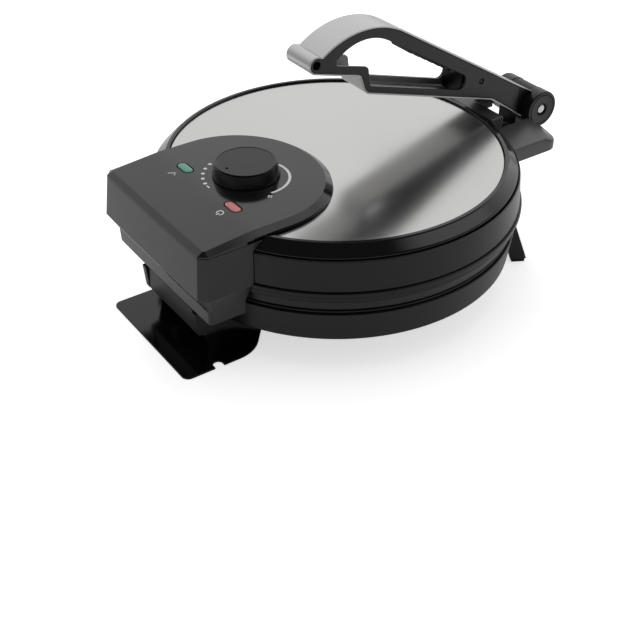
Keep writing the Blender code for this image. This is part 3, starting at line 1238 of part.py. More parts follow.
def make_cheeks():
    outline = strap_profile(-STRAP_THICKNESS - SEAT_GAP)
    pivot = (0, -PIVOT_REACH, PIVOT_Z)
    nose = reach(NOSE_SHARES)
    screw = reach(SCREW_SHARES)
    for side, name in ((-1, "left"), (1, "right")):
        low, high = sorted((side * CHEEK_INNER, side * CHEEK_OUTER))
        cheek = add_mesh(f"handle_cheek_{name}", prism(outline, low, high, "X"),
                         "satin_black_plastic", "handle", pivot)
        hole = prism(hole_outline(), low - CUT_OVERRUN, high + CUT_OVERRUN, "X")
        cut(cheek, add_mesh(f"finger_hole_{name}", hole, None, "handle", pivot))
        bore = prism(circle(NOSE_BORE_RADIUS, SMALL_STEPS // 2, nose), low - CUT_OVERRUN,
                     high + CUT_OVERRUN, "X")
        cut(cheek, add_mesh(f"nose_bore_{name}", bore, None, "handle", pivot))
        well = prism(circle(SCREW_HOLE_RADIUS, SMALL_STEPS // 2, screw), low - CUT_OVERRUN,
                     high + CUT_OVERRUN, "X")
        cut(cheek, add_mesh(f"screw_well_{name}", well, None, "handle", pivot))
    spacer = NOSE_RADIUS - STRAP_THICKNESS - SEAT_GAP
    tie = turned_on_x([(NOSE_BORE_RADIUS, -INSIDE_HALF_WIDTH), (spacer, -INSIDE_HALF_WIDTH),
                       (spacer, INSIDE_HALF_WIDTH), (NOSE_BORE_RADIUS, INSIDE_HALF_WIDTH)],
                      SMALL_STEPS)
    place = (0, -PIVOT_REACH + nose[0], PIVOT_Z + nose[1])
    add_mesh("nose_spacer_tube", tie, "satin_black_plastic", "handle", place)
    reach_out = CHEEK_OUTER - CHEEK_INSET
    tie_screw = prism(circle(SCREW_RADIUS, SMALL_STEPS // 2, screw), -reach_out, reach_out, "X")
    add_mesh("handle_tie_screw", tie_screw, "black_steel", "handle", pivot)


def upper_line(share):
    """A point on the underside of the strap's straight top, and the run of that line."""
    front = Vector(ROOT_TOP)
    run = (Vector(reach(ARCH_SHARES)) - front).normalized()
    under = Vector((run.y, -run.x)) * (STRAP_THICKNESS + SEAT_GAP)
    return front + run * (share * HANDLE_REACH - front.x) / run.x + under, run


def make_grip():
    start, run = upper_line(GRIP_START_SHARE)
    end, _ = upper_line(GRIP_END_SHARE)
    down = Vector((run.y, -run.x))
    outline = [start, end]
    length = (end - start).length
    points = GRIP_RIBS * GRIP_RIB_STEPS
    for step in range(points + 1):
        share = 1 - step / points
        wave = (1 - math.cos(math.tau * GRIP_RIBS * share)) / 2
        outline.append(start + run * length * share + down * (GRIP_DEPTH + GRIP_RIB_HEIGHT * wave))
    grip = prism([tuple(point) for point in outline], -INSIDE_HALF_WIDTH, INSIDE_HALF_WIDTH, "X")
    add_mesh("finger_grip", grip, "satin_black_plastic", "handle", (0, -PIVOT_REACH, PIVOT_Z))


def make_core():
    pivot = (0, -PIVOT_REACH, PIVOT_Z)
    half = INSIDE_HALF_WIDTH
    outline = strap_profile(-STRAP_THICKNESS - CORE_INSET)
    core = add_mesh("handle_core", prism(outline, -half, half, "X"),
                    "satin_black_plastic", "handle", pivot)
    start, _ = upper_line(GRIP_START_SHARE)
    far = box((-half - CUT_OVERRUN, start.x - SEAT_GAP, -BARREL_RADIUS),
              (half + CUT_OVERRUN, HANDLE_REACH + NOSE_RADIUS, HANDLE_REACH))
    cut(core, add_mesh("core_end", far, None, "handle", pivot))
    top = Vector(ROOT_TOP)
    foot = Vector(ROOT_FOOT)
    rise = Vector(reach(ARCH_SHARES)) - top
    fall = Vector(reach(HEEL_SHARES)) - foot
    drop = (STRAP_THICKNESS + CORE_INSET) * math.sqrt(1 + (rise.y / rise.x) ** 2)
    lift = (STRAP_THICKNESS + CORE_INSET) * math.sqrt(1 + (fall.y / fall.x) ** 2)
    front = top.x + STRAP_THICKNESS + SEAT_GAP
    inside = BARREL_RADIUS / 2
    head = [(front - SEAT_GAP, top.y + rise.y / rise.x * STRAP_THICKNESS - drop),
            (front - SEAT_GAP, foot.y + fall.y / fall.x * STRAP_THICKNESS + lift),
            (inside, foot.y - fall.y / fall.x * (foot.x - inside) + lift),
            (0, top.y - rise.y / rise.x * top.x - drop)]
    fuse(core, add_mesh("core_head", prism(head, -CHEEK_OUTER, CHEEK_OUTER, "X"), None, "handle", pivot))
    neck = box((-half + SEAT_GAP, front - 2 * CORE_INSET, head[1][1] + 2 * STRAP_THICKNESS),
               (half - SEAT_GAP, front + STRAP_THICKNESS, head[0][1] * CORE_TOP_SLOPE_SHARE))
    fuse(core, add_mesh("core_neck", neck, None, "handle", pivot))
    saddle = rod(BARREL_RADIUS + SEAT_GAP, -BARREL_HALF_LENGTH, BARREL_HALF_LENGTH, INNER_STEPS, "X")
    cut(core, add_mesh("core_saddle", saddle, None, "handle", pivot))
    hole = prism(circle(SCREW_RADIUS + SEAT_GAP, SMALL_STEPS // 2, reach(SCREW_SHARES)),
                 -HANDLE_HALF_WIDTH - CUT_OVERRUN, HANDLE_HALF_WIDTH + CUT_OVERRUN, "X")
    cut(core, add_mesh("core_screw_hole", hole, None, "handle", pivot))


def make_hubs():
    inner = KNUCKLE_HALF_WIDTH + RUN_GAP
    well = PIVOT_HEAD_RADIUS + PIVOT_WELL_MARGIN
    well_floor = BARREL_HALF_LENGTH - PIVOT_WELL_MARGIN - PIVOT_HEAD_DEPTH - RUN_GAP
    groove = BARREL_HALF_LENGTH - CAP_GROOVE_DEPTH
    ring = BARREL_RADIUS - CAP_GROOVE_INSET
    for side, name in ((-1, "left"), (1, "right")):
        section = [
            (PIVOT_PIN_RADIUS + RUN_GAP, inner), (BARREL_RADIUS, inner),
            (BARREL_RADIUS, BARREL_HALF_LENGTH - BARREL_EDGE),
            (BARREL_RADIUS - BARREL_EDGE, BARREL_HALF_LENGTH),
            (ring + CAP_GROOVE_WIDTH, BARREL_HALF_LENGTH),
            (ring + CAP_GROOVE_WIDTH / 2, groove), (ring, BARREL_HALF_LENGTH),
            (well, BARREL_HALF_LENGTH), (well, well_floor), (PIVOT_PIN_RADIUS + RUN_GAP, well_floor),
        ]
        hub = turned_on_x([(radius, side * x) for radius, x in section], INNER_STEPS)
        add_mesh(f"barrel_hub_{name}", hub, "satin_black_plastic", "handle", (0, -PIVOT_REACH, PIVOT_Z))


def main():
    clear_scene()
    make_group("round_body", (0, 0, 0))
    groups["round_body"][0].location = (0, BODY_AXIS_Y, 0)
    make_group("base", (0, 0, 0), "round_body")
    make_group("lid", (0, HINGE_Y, HINGE_Z), "round_body")
    make_group("knob", (0, KNOB_PLACE, PANEL_TOP_Z), "lid")
    make_group("handle", (0, -PIVOT_REACH, PIVOT_Z), "lid")
    make_base_shell()
    make_base_cover()
    make_lower_plate()
    make_lower_heater()
    make_terminal_block()
    make_gland()
    make_front_feet()
    make_stand()
    make_tower()
    make_lid_skirt()
    make_lid_rim()
    make_steel_cover()
    shield_top = make_upper_plate()
    make_control_housing()
    make_control_panel()
    make_lamps()
    make_thermostat(shield_top)
    make_lid_hinge()
    make_front_tab()
    make_handle_bracket()
    make_strap()
    make_cheeks()
    make_grip()
    make_core()
    make_hubs()


main()
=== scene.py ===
import math

import bmesh
import bpy
from mathutils import Matrix, Vector


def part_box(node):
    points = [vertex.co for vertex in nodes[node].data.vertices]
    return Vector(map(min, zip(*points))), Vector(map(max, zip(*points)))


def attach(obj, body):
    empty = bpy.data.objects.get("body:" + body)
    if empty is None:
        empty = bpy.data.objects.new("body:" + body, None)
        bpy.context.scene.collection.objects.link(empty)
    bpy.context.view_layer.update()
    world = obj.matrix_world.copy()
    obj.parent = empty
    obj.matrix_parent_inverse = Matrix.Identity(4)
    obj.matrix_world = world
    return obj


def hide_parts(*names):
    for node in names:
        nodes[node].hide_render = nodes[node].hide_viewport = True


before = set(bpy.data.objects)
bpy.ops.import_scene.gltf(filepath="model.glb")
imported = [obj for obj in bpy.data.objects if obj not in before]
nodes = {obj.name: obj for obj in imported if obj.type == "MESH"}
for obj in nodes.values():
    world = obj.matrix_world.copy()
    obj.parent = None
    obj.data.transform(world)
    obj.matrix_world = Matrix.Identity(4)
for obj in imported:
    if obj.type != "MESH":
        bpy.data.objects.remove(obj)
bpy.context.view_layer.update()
mm = 0.001
rimLow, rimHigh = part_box("lid_rim")
bodyY = (rimLow.y + rimHigh.y) / 2  # the round body's axis; shapes below are drawn about it, in millimetres


# node helpers, for the world, shader and geometry trees
def feed(tree, socket, value):
    # an output is linked to the socket, a plain value is set on it
    if isinstance(value, bpy.types.NodeSocket):
        tree.links.new(value, socket)
    elif value is not None:
        socket.default_value = value


def addNode(tree, kind, inputs=None, **settings):
    node = tree.nodes.new(kind)
    for label, value in settings.items():
        setattr(node, label, value)
    for label, value in (inputs or {}).items():
        feed(tree, node.inputs[label], value)
    return node


def mathNode(tree, operation, *values):
    return addNode(tree, "ShaderNodeMath", dict(enumerate(values)), operation=operation).outputs[0]


def mixNode(tree, factor, first, second, kind="FLOAT"):
    inputs = {"Factor": factor, "A": first, "B": second}
    return addNode(tree, "ShaderNodeMix", inputs, data_type=kind).outputs["Result"]


def newTree(kind, name, inputs, outputs):
    tree = bpy.data.node_groups.new(name, kind)
    sockets = {}
    for label, socketKind, value in inputs:
        socket = tree.interface.new_socket(label, in_out="INPUT", socket_type="NodeSocket" + socketKind)
        if value is not None:
            socket.default_value = value
        sockets[label] = socket.identifier
    for label, socketKind in outputs:
        tree.interface.new_socket(label, in_out="OUTPUT", socket_type="NodeSocket" + socketKind)
    given, out = tree.nodes.new("NodeGroupInput").outputs, tree.nodes.new("NodeGroupOutput").inputs
    return tree, given, out, sockets


# camera and light
cameraValues = {
    "azimuth": 236.14, "elevation": 35.92, "roll": -0.56, "distance": 944.4,
    "aimX": 335.5, "aimY": 207.9, "focalPixels": 1149.8, "imagePixels": 620,
    "sensor": 36.0, "aimHeight": 60, "nearest": 0.01, "farthest": 20,
}


def makeCamera(v):
    az, el, roll = (math.radians(v[k]) for k in ("azimuth", "elevation", "roll"))
    back = Vector((math.sin(az) * math.cos(el), -math.cos(az) * math.cos(el), math.sin(el)))
    right = (-back).cross(Vector((0, 0, 1))).normalized()
    up = right.cross(-back)
    turnedRight = right * math.cos(roll) + up * math.sin(roll)
    turnedUp = up * math.cos(roll) - right * math.sin(roll)
    half = v["imagePixels"] / 2
    sideways = (v["aimX"] - half) / v["focalPixels"] * v["distance"]
    downward = -(v["aimY"] - half) / v["focalPixels"] * v["distance"]
    aim = Vector((0, 0, v["aimHeight"]))
    place = aim - turnedRight * sideways - turnedUp * downward + back * v["distance"]
    data = bpy.data.cameras.new("photoCamera")
    data.sensor_width = v["sensor"]
    data.lens = v["focalPixels"] * v["sensor"] / v["imagePixels"]
    data.clip_start, data.clip_end = v["nearest"], v["farthest"]
    camera = bpy.data.objects.new("photoCamera", data)
    bpy.context.scene.collection.objects.link(camera)
    camera.matrix_world = Matrix((
        (turnedRight.x, turnedUp.x, back.x, place.x * mm),
        (turnedRight.y, turnedUp.y, back.y, place.y * mm + bodyY),
        (turnedRight.z, turnedUp.z, back.z, place.z * mm),
        (0, 0, 0, 1)))
    bpy.context.scene.camera = camera


lightValues = {
    "worldMatt": 0.38,  # world strength on matt faces
    # what gloss sees of the world: side, where it starts and ends, strength off it and on it;
    # first the pale far side against the dark near one, then a pale panel to the right of the camera
    "lobes": [((0.80, -0.54, 0.10), -0.15, 0.75, 0.05, 0.95), ((-0.35, -0.62, 0.70), 0.84, 0.975, 0.0, 1.0)],
    "floor": {"Base Color": (0.86, 0.86, 0.86, 1), "Roughness": 0.9, "Specular IOR Level": 0.1,
              "Emission Strength": 1.0},
    # the floor's glow as each kind of ray sees it; the last that fits counts
    "floorGlow": [("Is Glossy Ray", 0.10), ("Is Transmission Ray", 0.62), ("Is Camera Ray", 0.62)],
    "floorHalf": 6.0, "lampAim": (0, 0.02, 0.08),
    # name, place, power, width, height
    "lamps": [
        ("farKey", (1.05, -0.45, 0.85), 9.0, 0.9, 0.6),
        ("topFill", (-0.05, 0.10, 1.60), 4.5, 1.2, 1.2),
        ("nearFill", (-1.00, -0.90, 0.80), 1.6, 1.2, 0.9),
    ],
}


def makeWorld(v):
    # pale to the camera and through glass; uneven, as in a photographer's booth, only for gloss
    world = bpy.data.worlds.new("studioWorld")
    bpy.context.scene.world = world
    world.use_nodes = True
    tree = world.node_tree
    path = tree.nodes.new("ShaderNodeLightPath").outputs
    toward = tree.nodes.new("ShaderNodeTexCoord").outputs["Generated"]
    lobes = []
    for side, start, end, low, high in v["lobes"]:
        inputs = {0: toward, 1: Vector(side).normalized()}
        facing = addNode(tree, "ShaderNodeVectorMath", inputs, operation="DOT_PRODUCT")
        inputs = {"Value": facing.outputs["Value"], "From Min": start, "From Max": end,
                  "To Min": low, "To Max": high}
        lobe = addNode(tree, "ShaderNodeMapRange", inputs, interpolation_type="SMOOTHSTEP")
        lobes.append(lobe.outputs["Result"])
    gloss = mathNode(tree, "MAXIMUM", *lobes)
    seen = mathNode(tree, "MAXIMUM", path["Is Camera Ray"], path["Is Transmission Ray"])
    unseen = mixNode(tree, path["Is Glossy Ray"], v["worldMatt"], gloss)
    back = tree.nodes["Background"]
    feed(tree, back.inputs["Strength"], mixNode(tree, seen, unseen, 1.0))
    feed(tree, back.inputs["Color"], (1, 1, 1, 1))


def makeFloor(v):
    # white to the camera, in gloss and through glass, with the shadow kept
    material = bpy.data.materials.new("palePaper")
    material.use_nodes = True
    tree = material.node_tree
    path = tree.nodes.new("ShaderNodeLightPath").outputs
    glow = (0, 0, 0, 1)
    for ray, level in v["floorGlow"]:
        glow = mixNode(tree, path[ray], glow, (level, level, level, 1), "RGBA")
    shader = tree.nodes["Principled BSDF"]
    for label, value in (*v["floor"].items(), ("Emission Color", glow)):
        feed(tree, shader.inputs[label], value)
    half = v["floorHalf"]
    bm = bmesh.new()
    corners = ((-half, -half), (half, -half), (half, half), (-half, half))
    bm.faces.new([bm.verts.new((x, y, 0)) for x, y in corners])
    mesh = bpy.data.meshes.new("studioFloor")
    bm.to_mesh(mesh)
    bm.free()
    floor = bpy.data.objects.new("studioFloor", mesh)
    bpy.context.scene.collection.objects.link(floor)
    mesh.materials.append(material)


def makeLamps(v):
    for name, place, power, width, height in v["lamps"]:
        data = bpy.data.lights.new(name, "AREA")
        data.shape = "RECTANGLE"
        data.size, data.size_y, data.energy = width, height, power
        lamp = bpy.data.objects.new(name, data)
        bpy.context.scene.collection.objects.link(lamp)
        lamp.visible_glossy = False  # gloss mirrors the world alone
        lamp.location = place
        lamp.rotation_euler = (Vector(v["lampAim"]) - Vector(place)).to_track_quat("-Z", "Y").to_euler()


makeCamera(cameraValues)
bpy.context.scene.view_settings.view_transform = "Standard"
makeWorld(lightValues)
makeLamps(lightValues)
makeFloor(lightValues)
print("camera and light ready")


# shared shader groups
effectValues = {
    # scale, detail and roughness of each noise; a scale of None is the group's own input
    "grain": (None, 2.0, 0.6), "patch": (14.0, 3.0, 0.55), "haze": (45.0, 4.0, 0.6), "patchShare": 0.7,
    "steelPatch": (9.0, 2.0, 0.5), "lineDetail": 3.0, "lineRough": 0.65, "lineShare": 0.6, "middle": 0.5,
}


def noiseNode(tree, vector, noise, ownScale=None):
    scale, detail, rough = noise
    inputs = {"Vector": vector, "Scale": scale or ownScale, "Detail": detail, "Roughness": rough}
    return addNode(tree, "ShaderNodeTexNoise", inputs).outputs["Fac"]


def blendNode(tree, first, second, share):
    return mathNode(tree, "MULTIPLY_ADD", first, share, mathNode(tree, "MULTIPLY", second, 1 - share))


def endEffect(tree, given, out, tones, tone, swing, height):
    # tone picks between two tones, swing shifts the roughness about its own value
    feed(tree, out["Colour"], mixNode(tree, tone, given[tones[0]], given[tones[1]], "RGBA"))
    shift = mathNode(tree, "SUBTRACT", swing, effectValues["middle"])
    rough = mathNode(tree, "MULTIPLY_ADD", shift, given["Roughness Spread"], given["Roughness"])
    feed(tree, out["Roughness"], rough)
    feed(tree, out["Height"], height)
    return tree


effectOutputs = [("Colour", "Color"), ("Roughness", "Float"), ("Height", "Float")]


def makeMouldedGroup(v):
    # fine moulded grain, soft tone patches and a faint handling haze
    tree, given, out, _ = newTree("ShaderNodeTree", "mouldedGrain", [
        ("Vector", "Vector", None), ("Tone", "Color", (0.02, 0.02, 0.02, 1)),
        ("Pale Tone", "Color", (0.03, 0.03, 0.03, 1)), ("Grain Scale", "Float", 1800.0),
        ("Roughness", "Float", 0.4), ("Roughness Spread", "Float", 0.08)], effectOutputs)
    grain = noiseNode(tree, given["Vector"], v["grain"], given["Grain Scale"])
    patch = noiseNode(tree, given["Vector"], v["patch"])
    haze = noiseNode(tree, given["Vector"], v["haze"])
    tone = blendNode(tree, patch, grain, v["patchShare"])
    return endEffect(tree, given, out, ("Tone", "Pale Tone"), tone, haze, grain)


def makeBrushedGroup(v):
    # brush lines: Across grows from line to line
    tree, given, out, _ = newTree("ShaderNodeTree", "brushedLines", [
        ("Across", "Float", 0.0), ("Vector", "Vector", None),
        ("Tone", "Color", (0.6, 0.6, 0.6, 1)), ("Dark Tone", "Color", (0.5, 0.5, 0.5, 1)),
        ("Line Scale", "Float", 2500.0), ("Roughness", "Float", 0.3),
        ("Roughness Spread", "Float", 0.1)], effectOutputs)
    lines = addNode(tree, "ShaderNodeTexNoise", {
        "W": given["Across"], "Scale": given["Line Scale"], "Detail": v["lineDetail"],
        "Roughness": v["lineRough"]}, noise_dimensions="1D").outputs["Fac"]
    patch = noiseNode(tree, given["Vector"], v["steelPatch"])
    tone = blendNode(tree, lines, patch, v["lineShare"])
    return endEffect(tree, given, out, ("Dark Tone", "Tone"), tone, tone, lines)


mouldedGroup = makeMouldedGroup(effectValues)
brushedGroup = makeBrushedGroup(effectValues)


# materials
usualFinish = {
    "metallic": 0.0, "specular": 0.5, "coat": 0.0, "coatRoughness": 0.1, "anisotropic": 0.0,
    "grain": 1800.0, "spread": 0.08, "depth": 0.00008, "centreY": None, "tangentUv": None,
}
finishSockets = {"Metallic": "metallic", "Specular IOR Level": "specular", "Coat Weight": "coat",
                 "Coat Roughness": "coatRoughness", "Anisotropic": "anisotropic"}


def startMaterial(name, v):
    material = bpy.data.materials.new(name)
    material.use_nodes = True
    tree = material.node_tree
    shader = tree.nodes["Principled BSDF"]
    for label, key in finishSockets.items():
        feed(tree, shader.inputs[label], v[key])
    material.diffuse_color = (*v["pale"], 1)
    return material, tree, shader, tree.nodes.new("ShaderNodeTexCoord").outputs["Object"]


def addBump(tree, shader, height, strength, distance):
    bump = addNode(tree, "ShaderNodeBump", {"Strength": strength, "Distance": distance, "Height": height})
    feed(tree, shader.inputs["Normal"], bump.outputs["Normal"])


def addEffect(tree, shader, group, v, inputs):
    node = addNode(tree, "ShaderNodeGroup", {
        **inputs, "Roughness": v["roughness"], "Roughness Spread": v["spread"]}, node_tree=group).outputs
    feed(tree, shader.inputs["Base Color"], node["Colour"])
    feed(tree, shader.inputs["Roughness"], node["Roughness"])
    addBump(tree, shader, node["Height"], v["bump"], v["depth"])


def mouldedMaterial(name, v):
    material, tree, shader, place = startMaterial(name, v)
    addEffect(tree, shader, mouldedGroup, v, {
        "Vector": place, "Tone": (*v["dark"], 1), "Pale Tone": (*v["pale"], 1), "Grain Scale": v["grain"]})
    return material


def brushedMaterial(name, v):
    material, tree, shader, place = startMaterial(name, v)
    inputs = {"Vector": place, "Location": (0, -(v["centreY"] or 0.0), 0)}
    moved = addNode(tree, "ShaderNodeMapping", inputs).outputs["Vector"]
    split = addNode(tree, "ShaderNodeSeparateXYZ", {"Vector": moved}).outputs
    across = split["X"]
    if v["centreY"]:  # lines turned about the centre
        squareX = mathNode(tree, "MULTIPLY", split["X"], split["X"])
        across = mathNode(tree, "SQRT", mathNode(tree, "MULTIPLY_ADD", split["Y"], split["Y"], squareX))
    addEffect(tree, shader, brushedGroup, v, {
        "Across": across, "Vector": moved, "Tone": (*v["pale"], 1), "Dark Tone": (*v["dark"], 1),
        "Line Scale": v["lines"]})
    if v["tangentUv"]:
        tangent = addNode(tree, "ShaderNodeTangent", direction_type="UV_MAP", uv_map=v["tangentUv"])
        feed(tree, shader.inputs["Tangent"], tangent.outputs["Tangent"])
    return material


def lensMaterial(name, v):
    material, tree, shader, place = startMaterial(name, v)
    inputs = {"Vector": place, "Scale": v["ribs"], "Distortion": v["distortion"]}
    ribs = addNode(tree, "ShaderNodeTexWave", inputs).outputs["Fac"]
    feed(tree, shader.inputs["Base Color"], mixNode(tree, ribs, (*v["dark"], 1), (*v["pale"], 1), "RGBA"))
    feed(tree, shader.inputs["Roughness"], v["roughness"])
    addBump(tree, shader, ribs, v["bump"], v["depth"])
    return material


def tones(dark, pale, blue=0.0):
    # two greys, a little bluer by the last value
    return {"dark": (dark, dark, dark + blue), "pale": (pale, pale, pale + blue)}


mouldedValues = {
    "lidWallPlastic": {**tones(0.003, 0.005, 0.0005), "roughness": 0.26, "specular": 0.36, "bump": 0.03},
    "basePlastic": {**tones(0.004, 0.007, 0.0005), "roughness": 0.30, "specular": 0.36, "bump": 0.03},
    "rimGloss": {**tones(0.003, 0.005, 0.0005), "roughness": 0.12, "specular": 0.62, "spread": 0.04,
                 "bump": 0.02},
    "panelPlastic": {**tones(0.006, 0.010, 0.0005), "roughness": 0.13, "specular": 0.6,
                     "spread": 0.04, "bump": 0.02},
    "housingPlastic": {**tones(0.006, 0.010, 0.0005), "roughness": 0.27, "specular": 0.55, "bump": 0.02},
    "knobPlastic": {**tones(0.001, 0.002), "roughness": 0.25, "specular": 0.36, "bump": 0.04},
    "cheekPlastic": {**tones(0.006, 0.011, 0.0005), "roughness": 0.30, "specular": 0.50, "bump": 0.08},
    "tabPlastic": {**tones(0.040, 0.055, 0.0005), "roughness": 0.30, "specular": 0.70, "bump": 0.05},
    "darkPlastic": {**tones(0.003, 0.006), "roughness": 0.35, "specular": 0.35, "bump": 0.10},
    "standPaint": {**tones(0.002, 0.004), "roughness": 0.14, "specular": 0.40, "bump": 0.06, "grain": 1200.0},
    "softRubber": {**tones(0.010, 0.020), "roughness": 0.80, "specular": 0.25, "bump": 0.3, "grain": 900.0},
    "coatedPlate": {"dark": (0.012, 0.012, 0.012), "pale": (0.028, 0.028, 0.029), "roughness": 0.42,
                    "bump": 0.3, "grain": 700.0},
    "paleCeramic": {"dark": (0.62, 0.60, 0.56), "pale": (0.78, 0.76, 0.72), "roughness": 0.55, "bump": 0.1},
    "printWhite": {**tones(0.66, 0.76), "roughness": 0.55, "bump": 0.02},
    "heatingTube": {"dark": (0.14, 0.13, 0.12), "pale": (0.26, 0.25, 0.24), "roughness": 0.5, "metallic": 0.9,
                    "bump": 0.15, "grain": 500.0},
}
brushedValues = {
    "coverSteel": {"dark": (0.56, 0.555, 0.55), "pale": (0.66, 0.655, 0.65), "metallic": 1.0,
                   "roughness": 0.20, "spread": 0.03, "lines": 1500.0, "bump": 0.03, "centreY": bodyY,
                   "anisotropic": 0.5, "tangentUv": "turnedLines"},
    "strapSteel": {**tones(0.50, 0.60), "metallic": 1.0, "roughness": 0.28, "spread": 0.05,
                   "lines": 1800.0, "bump": 0.05},
    "innerSteel": {**tones(0.46, 0.58), "metallic": 1.0, "roughness": 0.65, "lines": 900.0, "bump": 0.04},
    "plainSteel": {"dark": (0.36, 0.37, 0.38), "pale": (0.50, 0.51, 0.52), "metallic": 1.0, "roughness": 0.40,
                   "lines": 900.0, "bump": 0.08},
    "brightScrew": {**tones(0.60, 0.74, 0.01), "metallic": 1.0, "roughness": 0.25, "lines": 1500.0,
                    "bump": 0.05},
}
ribbedLens = {"coat": 0.6, "coatRoughness": 0.08, "roughness": 0.2, "ribs": 260.0, "distortion": 0.4,
              "bump": 0.2, "depth": 0.0002}
lensTones = {
    "readyLens": {**ribbedLens, "dark": (0.020, 0.200, 0.120), "pale": (0.045, 0.300, 0.185)},
    "powerLens": {**ribbedLens, "dark": (0.420, 0.095, 0.090), "pale": (0.580, 0.155, 0.165)},
}
materials = {}
usualBrushed = {**usualFinish, "spread": 0.1, "depth": 0.00004}
for makeMaterial, usual, table in ((mouldedMaterial, usualFinish, mouldedValues),
                                   (brushedMaterial, usualBrushed, brushedValues),
                                   (lensMaterial, usualFinish, lensTones)):
    materials.update({name: makeMaterial(name, {**usual, **v}) for name, v in table.items()})
print("materials ready")


# mesh helpers
fineStep, roundStep, wideStep = (math.radians(degrees) for degrees in (7, 15, 18))  # steps of drawn arcs
roundSides = 240  # sides of the round body and of what clears it
tiny = {"turn": 1e-6, "radius": 1e-5, "merge": 1e-3}


def softPath(corners, offset=0.0, closed=True, arcStep=fineStep):
    # round the corners (a, b, radius) of a clockwise outline that is moved outwards by offset
    count = len(corners)
    ends = [Vector(corner[:2]) for corner in corners]
    lines = []
    for index in range(count if closed else count - 1):
        run = (ends[(index + 1) % count] - ends[index]).normalized()
        outward = Vector((-run.y, run.x))
        lines.append((ends[index] + outward * offset, run, outward))
    points = []
    for index in range(count):
        if not closed and index in (0, count - 1):
            points.append(tuple(ends[index] + lines[0 if index == 0 else -1][2] * offset))
            continue
        place, before, outward = lines[index - 1]
        nextPlace, after, _ = lines[index]
        turn = before.x * after.y - before.y * after.x
        gap = nextPlace - place
        if abs(turn) < tiny["turn"]:
            points.append(tuple(nextPlace))
            continue
        corner = place + before * ((gap.x * after.y - gap.y * after.x) / turn)
        bend = math.atan2(turn, before.dot(after))
        radius = max(corners[index][2] + (offset if bend < 0 else -offset), 0.0)
        if radius < tiny["radius"]:
            points.append(tuple(corner))
            continue
        back = radius * math.tan(abs(bend) / 2)
        centre = corner - before * back + outward * radius * (1 if bend > 0 else -1)
        first = corner - before * back - centre
        parts = max(2, math.ceil(abs(bend) / arcStep))
        for part in range(parts + 1):
            angle = bend * part / parts
            points.append((centre.x + first.x * math.cos(angle) - first.y * math.sin(angle),
                           centre.y + first.x * math.sin(angle) + first.y * math.cos(angle)))
    return points


def polar(radius, angle, centre=(0, 0)):
    return centre[0] + radius * math.cos(angle), centre[1] + radius * math.sin(angle)


def arcPoints(radius, start, sweep, count, centre=(0, 0)):
    return [polar(radius, start + sweep * step / count, centre) for step in range(count + 1)]


def loftRings(places, ring=False):
    # rings of places joined in turn; a closed ring joins its ends, otherwise both are capped
    bm = bmesh.new()
    rings = [[bm.verts.new(place) for place in row] for row in places]
    for lower, upper in zip(rings, rings[1:] + rings[:1] if ring else rings[1:]):
        for index in range(len(lower)):
            after = (index + 1) % len(lower)
            bm.faces.new((lower[index], lower[after], upper[after], upper[index]))
    if not ring:
        bm.faces.new(rings[0])
        bm.faces.new(rings[-1])
    return bm


def turned(profile, segments, ring=False):
    # a profile of (radius, height) turned round Z
    angles = [math.tau * step / segments for step in range(segments)]
    return loftRings([[(*polar(radius, angle), z) for angle in angles] for radius, z in profile], ring)


def lofted(levels):
    return loftRings([[(x, y, z) for x, y in outline] for z, outline in levels])


def acrossX(outline, low, high):
    # an outline of (y, z) carried from low to high along X
    return loftRings([[(x, y, z) for y, z in outline] for x in (low, high)])


def block(low, high):
    outline = [(low[0], low[1]), (high[0], low[1]), (high[0], high[1]), (low[0], high[1])]
    return lofted([(low[2], outline), (high[2], outline)])


def alongX(bm):
    for vert in bm.verts:
        x, y, z = vert.co
        vert.co = (z, x, y)
    return bm


def turnedAbout(bm, degrees):
    c, s = math.cos(math.radians(degrees)), math.sin(math.radians(degrees))
    for vert in bm.verts:
        x, y, z = vert.co
        vert.co = (x * c - y * s, x * s + y * c, z)
    return bm


def meshObject(name, bm, shift=(0, 0, 0)):
    # millimetres about the body's axis become metres in the shared frame
    bmesh.ops.remove_doubles(bm, verts=bm.verts, dist=tiny["merge"])
    bmesh.ops.recalc_face_normals(bm, faces=bm.faces)
    if bm.calc_volume(signed=True) < 0:
        bmesh.ops.reverse_faces(bm, faces=bm.faces)
    for vert in bm.verts:
        vert.co = (Vector(vert.co) + Vector(shift)) * mm + Vector((0, bodyY, 0))
    mesh = bpy.data.meshes.new(name)
    bm.to_mesh(mesh)
    bm.free()
    item = bpy.data.objects.new(name, mesh)
    bpy.context.scene.collection.objects.link(item)
    return item


def spun(name, profile, sides, place, closed=False, arcStep=roundStep, sideways=True):
    # a softened profile turned round X, or round Z where it isn't sideways
    bm = turned(softPath(profile, closed=closed, arcStep=arcStep), sides, closed)
    return meshObject(name, alongX(bm) if sideways else bm, place)


def rodProfile(core, radius, half, edge):
    return [(core, -half, 0), (radius, -half, edge), (radius, half, edge), (core, half, 0)]


def settle(item):
    # turn the modifiers into plain mesh
    graph = bpy.context.evaluated_depsgraph_get()
    mesh = bpy.data.meshes.new_from_object(item.evaluated_get(graph))
    item.modifiers.clear()
    item.data = mesh
    return item


def combine(item, other, operation):
    change = item.modifiers.new("combine", "BOOLEAN")
    change.operation, change.solver, change.object = operation, "EXACT", other
    settle(item)
    bpy.data.objects.remove(other)
    return item


def carve(item, bm, shift=(0, 0, 0)):
    return combine(item, meshObject("cutter", bm, shift), "DIFFERENCE")


def drill(item, radius, low, high, shift=(0, 0, 0), sides=32, sideways=False):
    # a round hole up from low to high, or along X where it is sideways
    bm = turned([(radius, low), (radius, high)], sides)
    return carve(item, alongX(bm) if sideways else bm, shift)


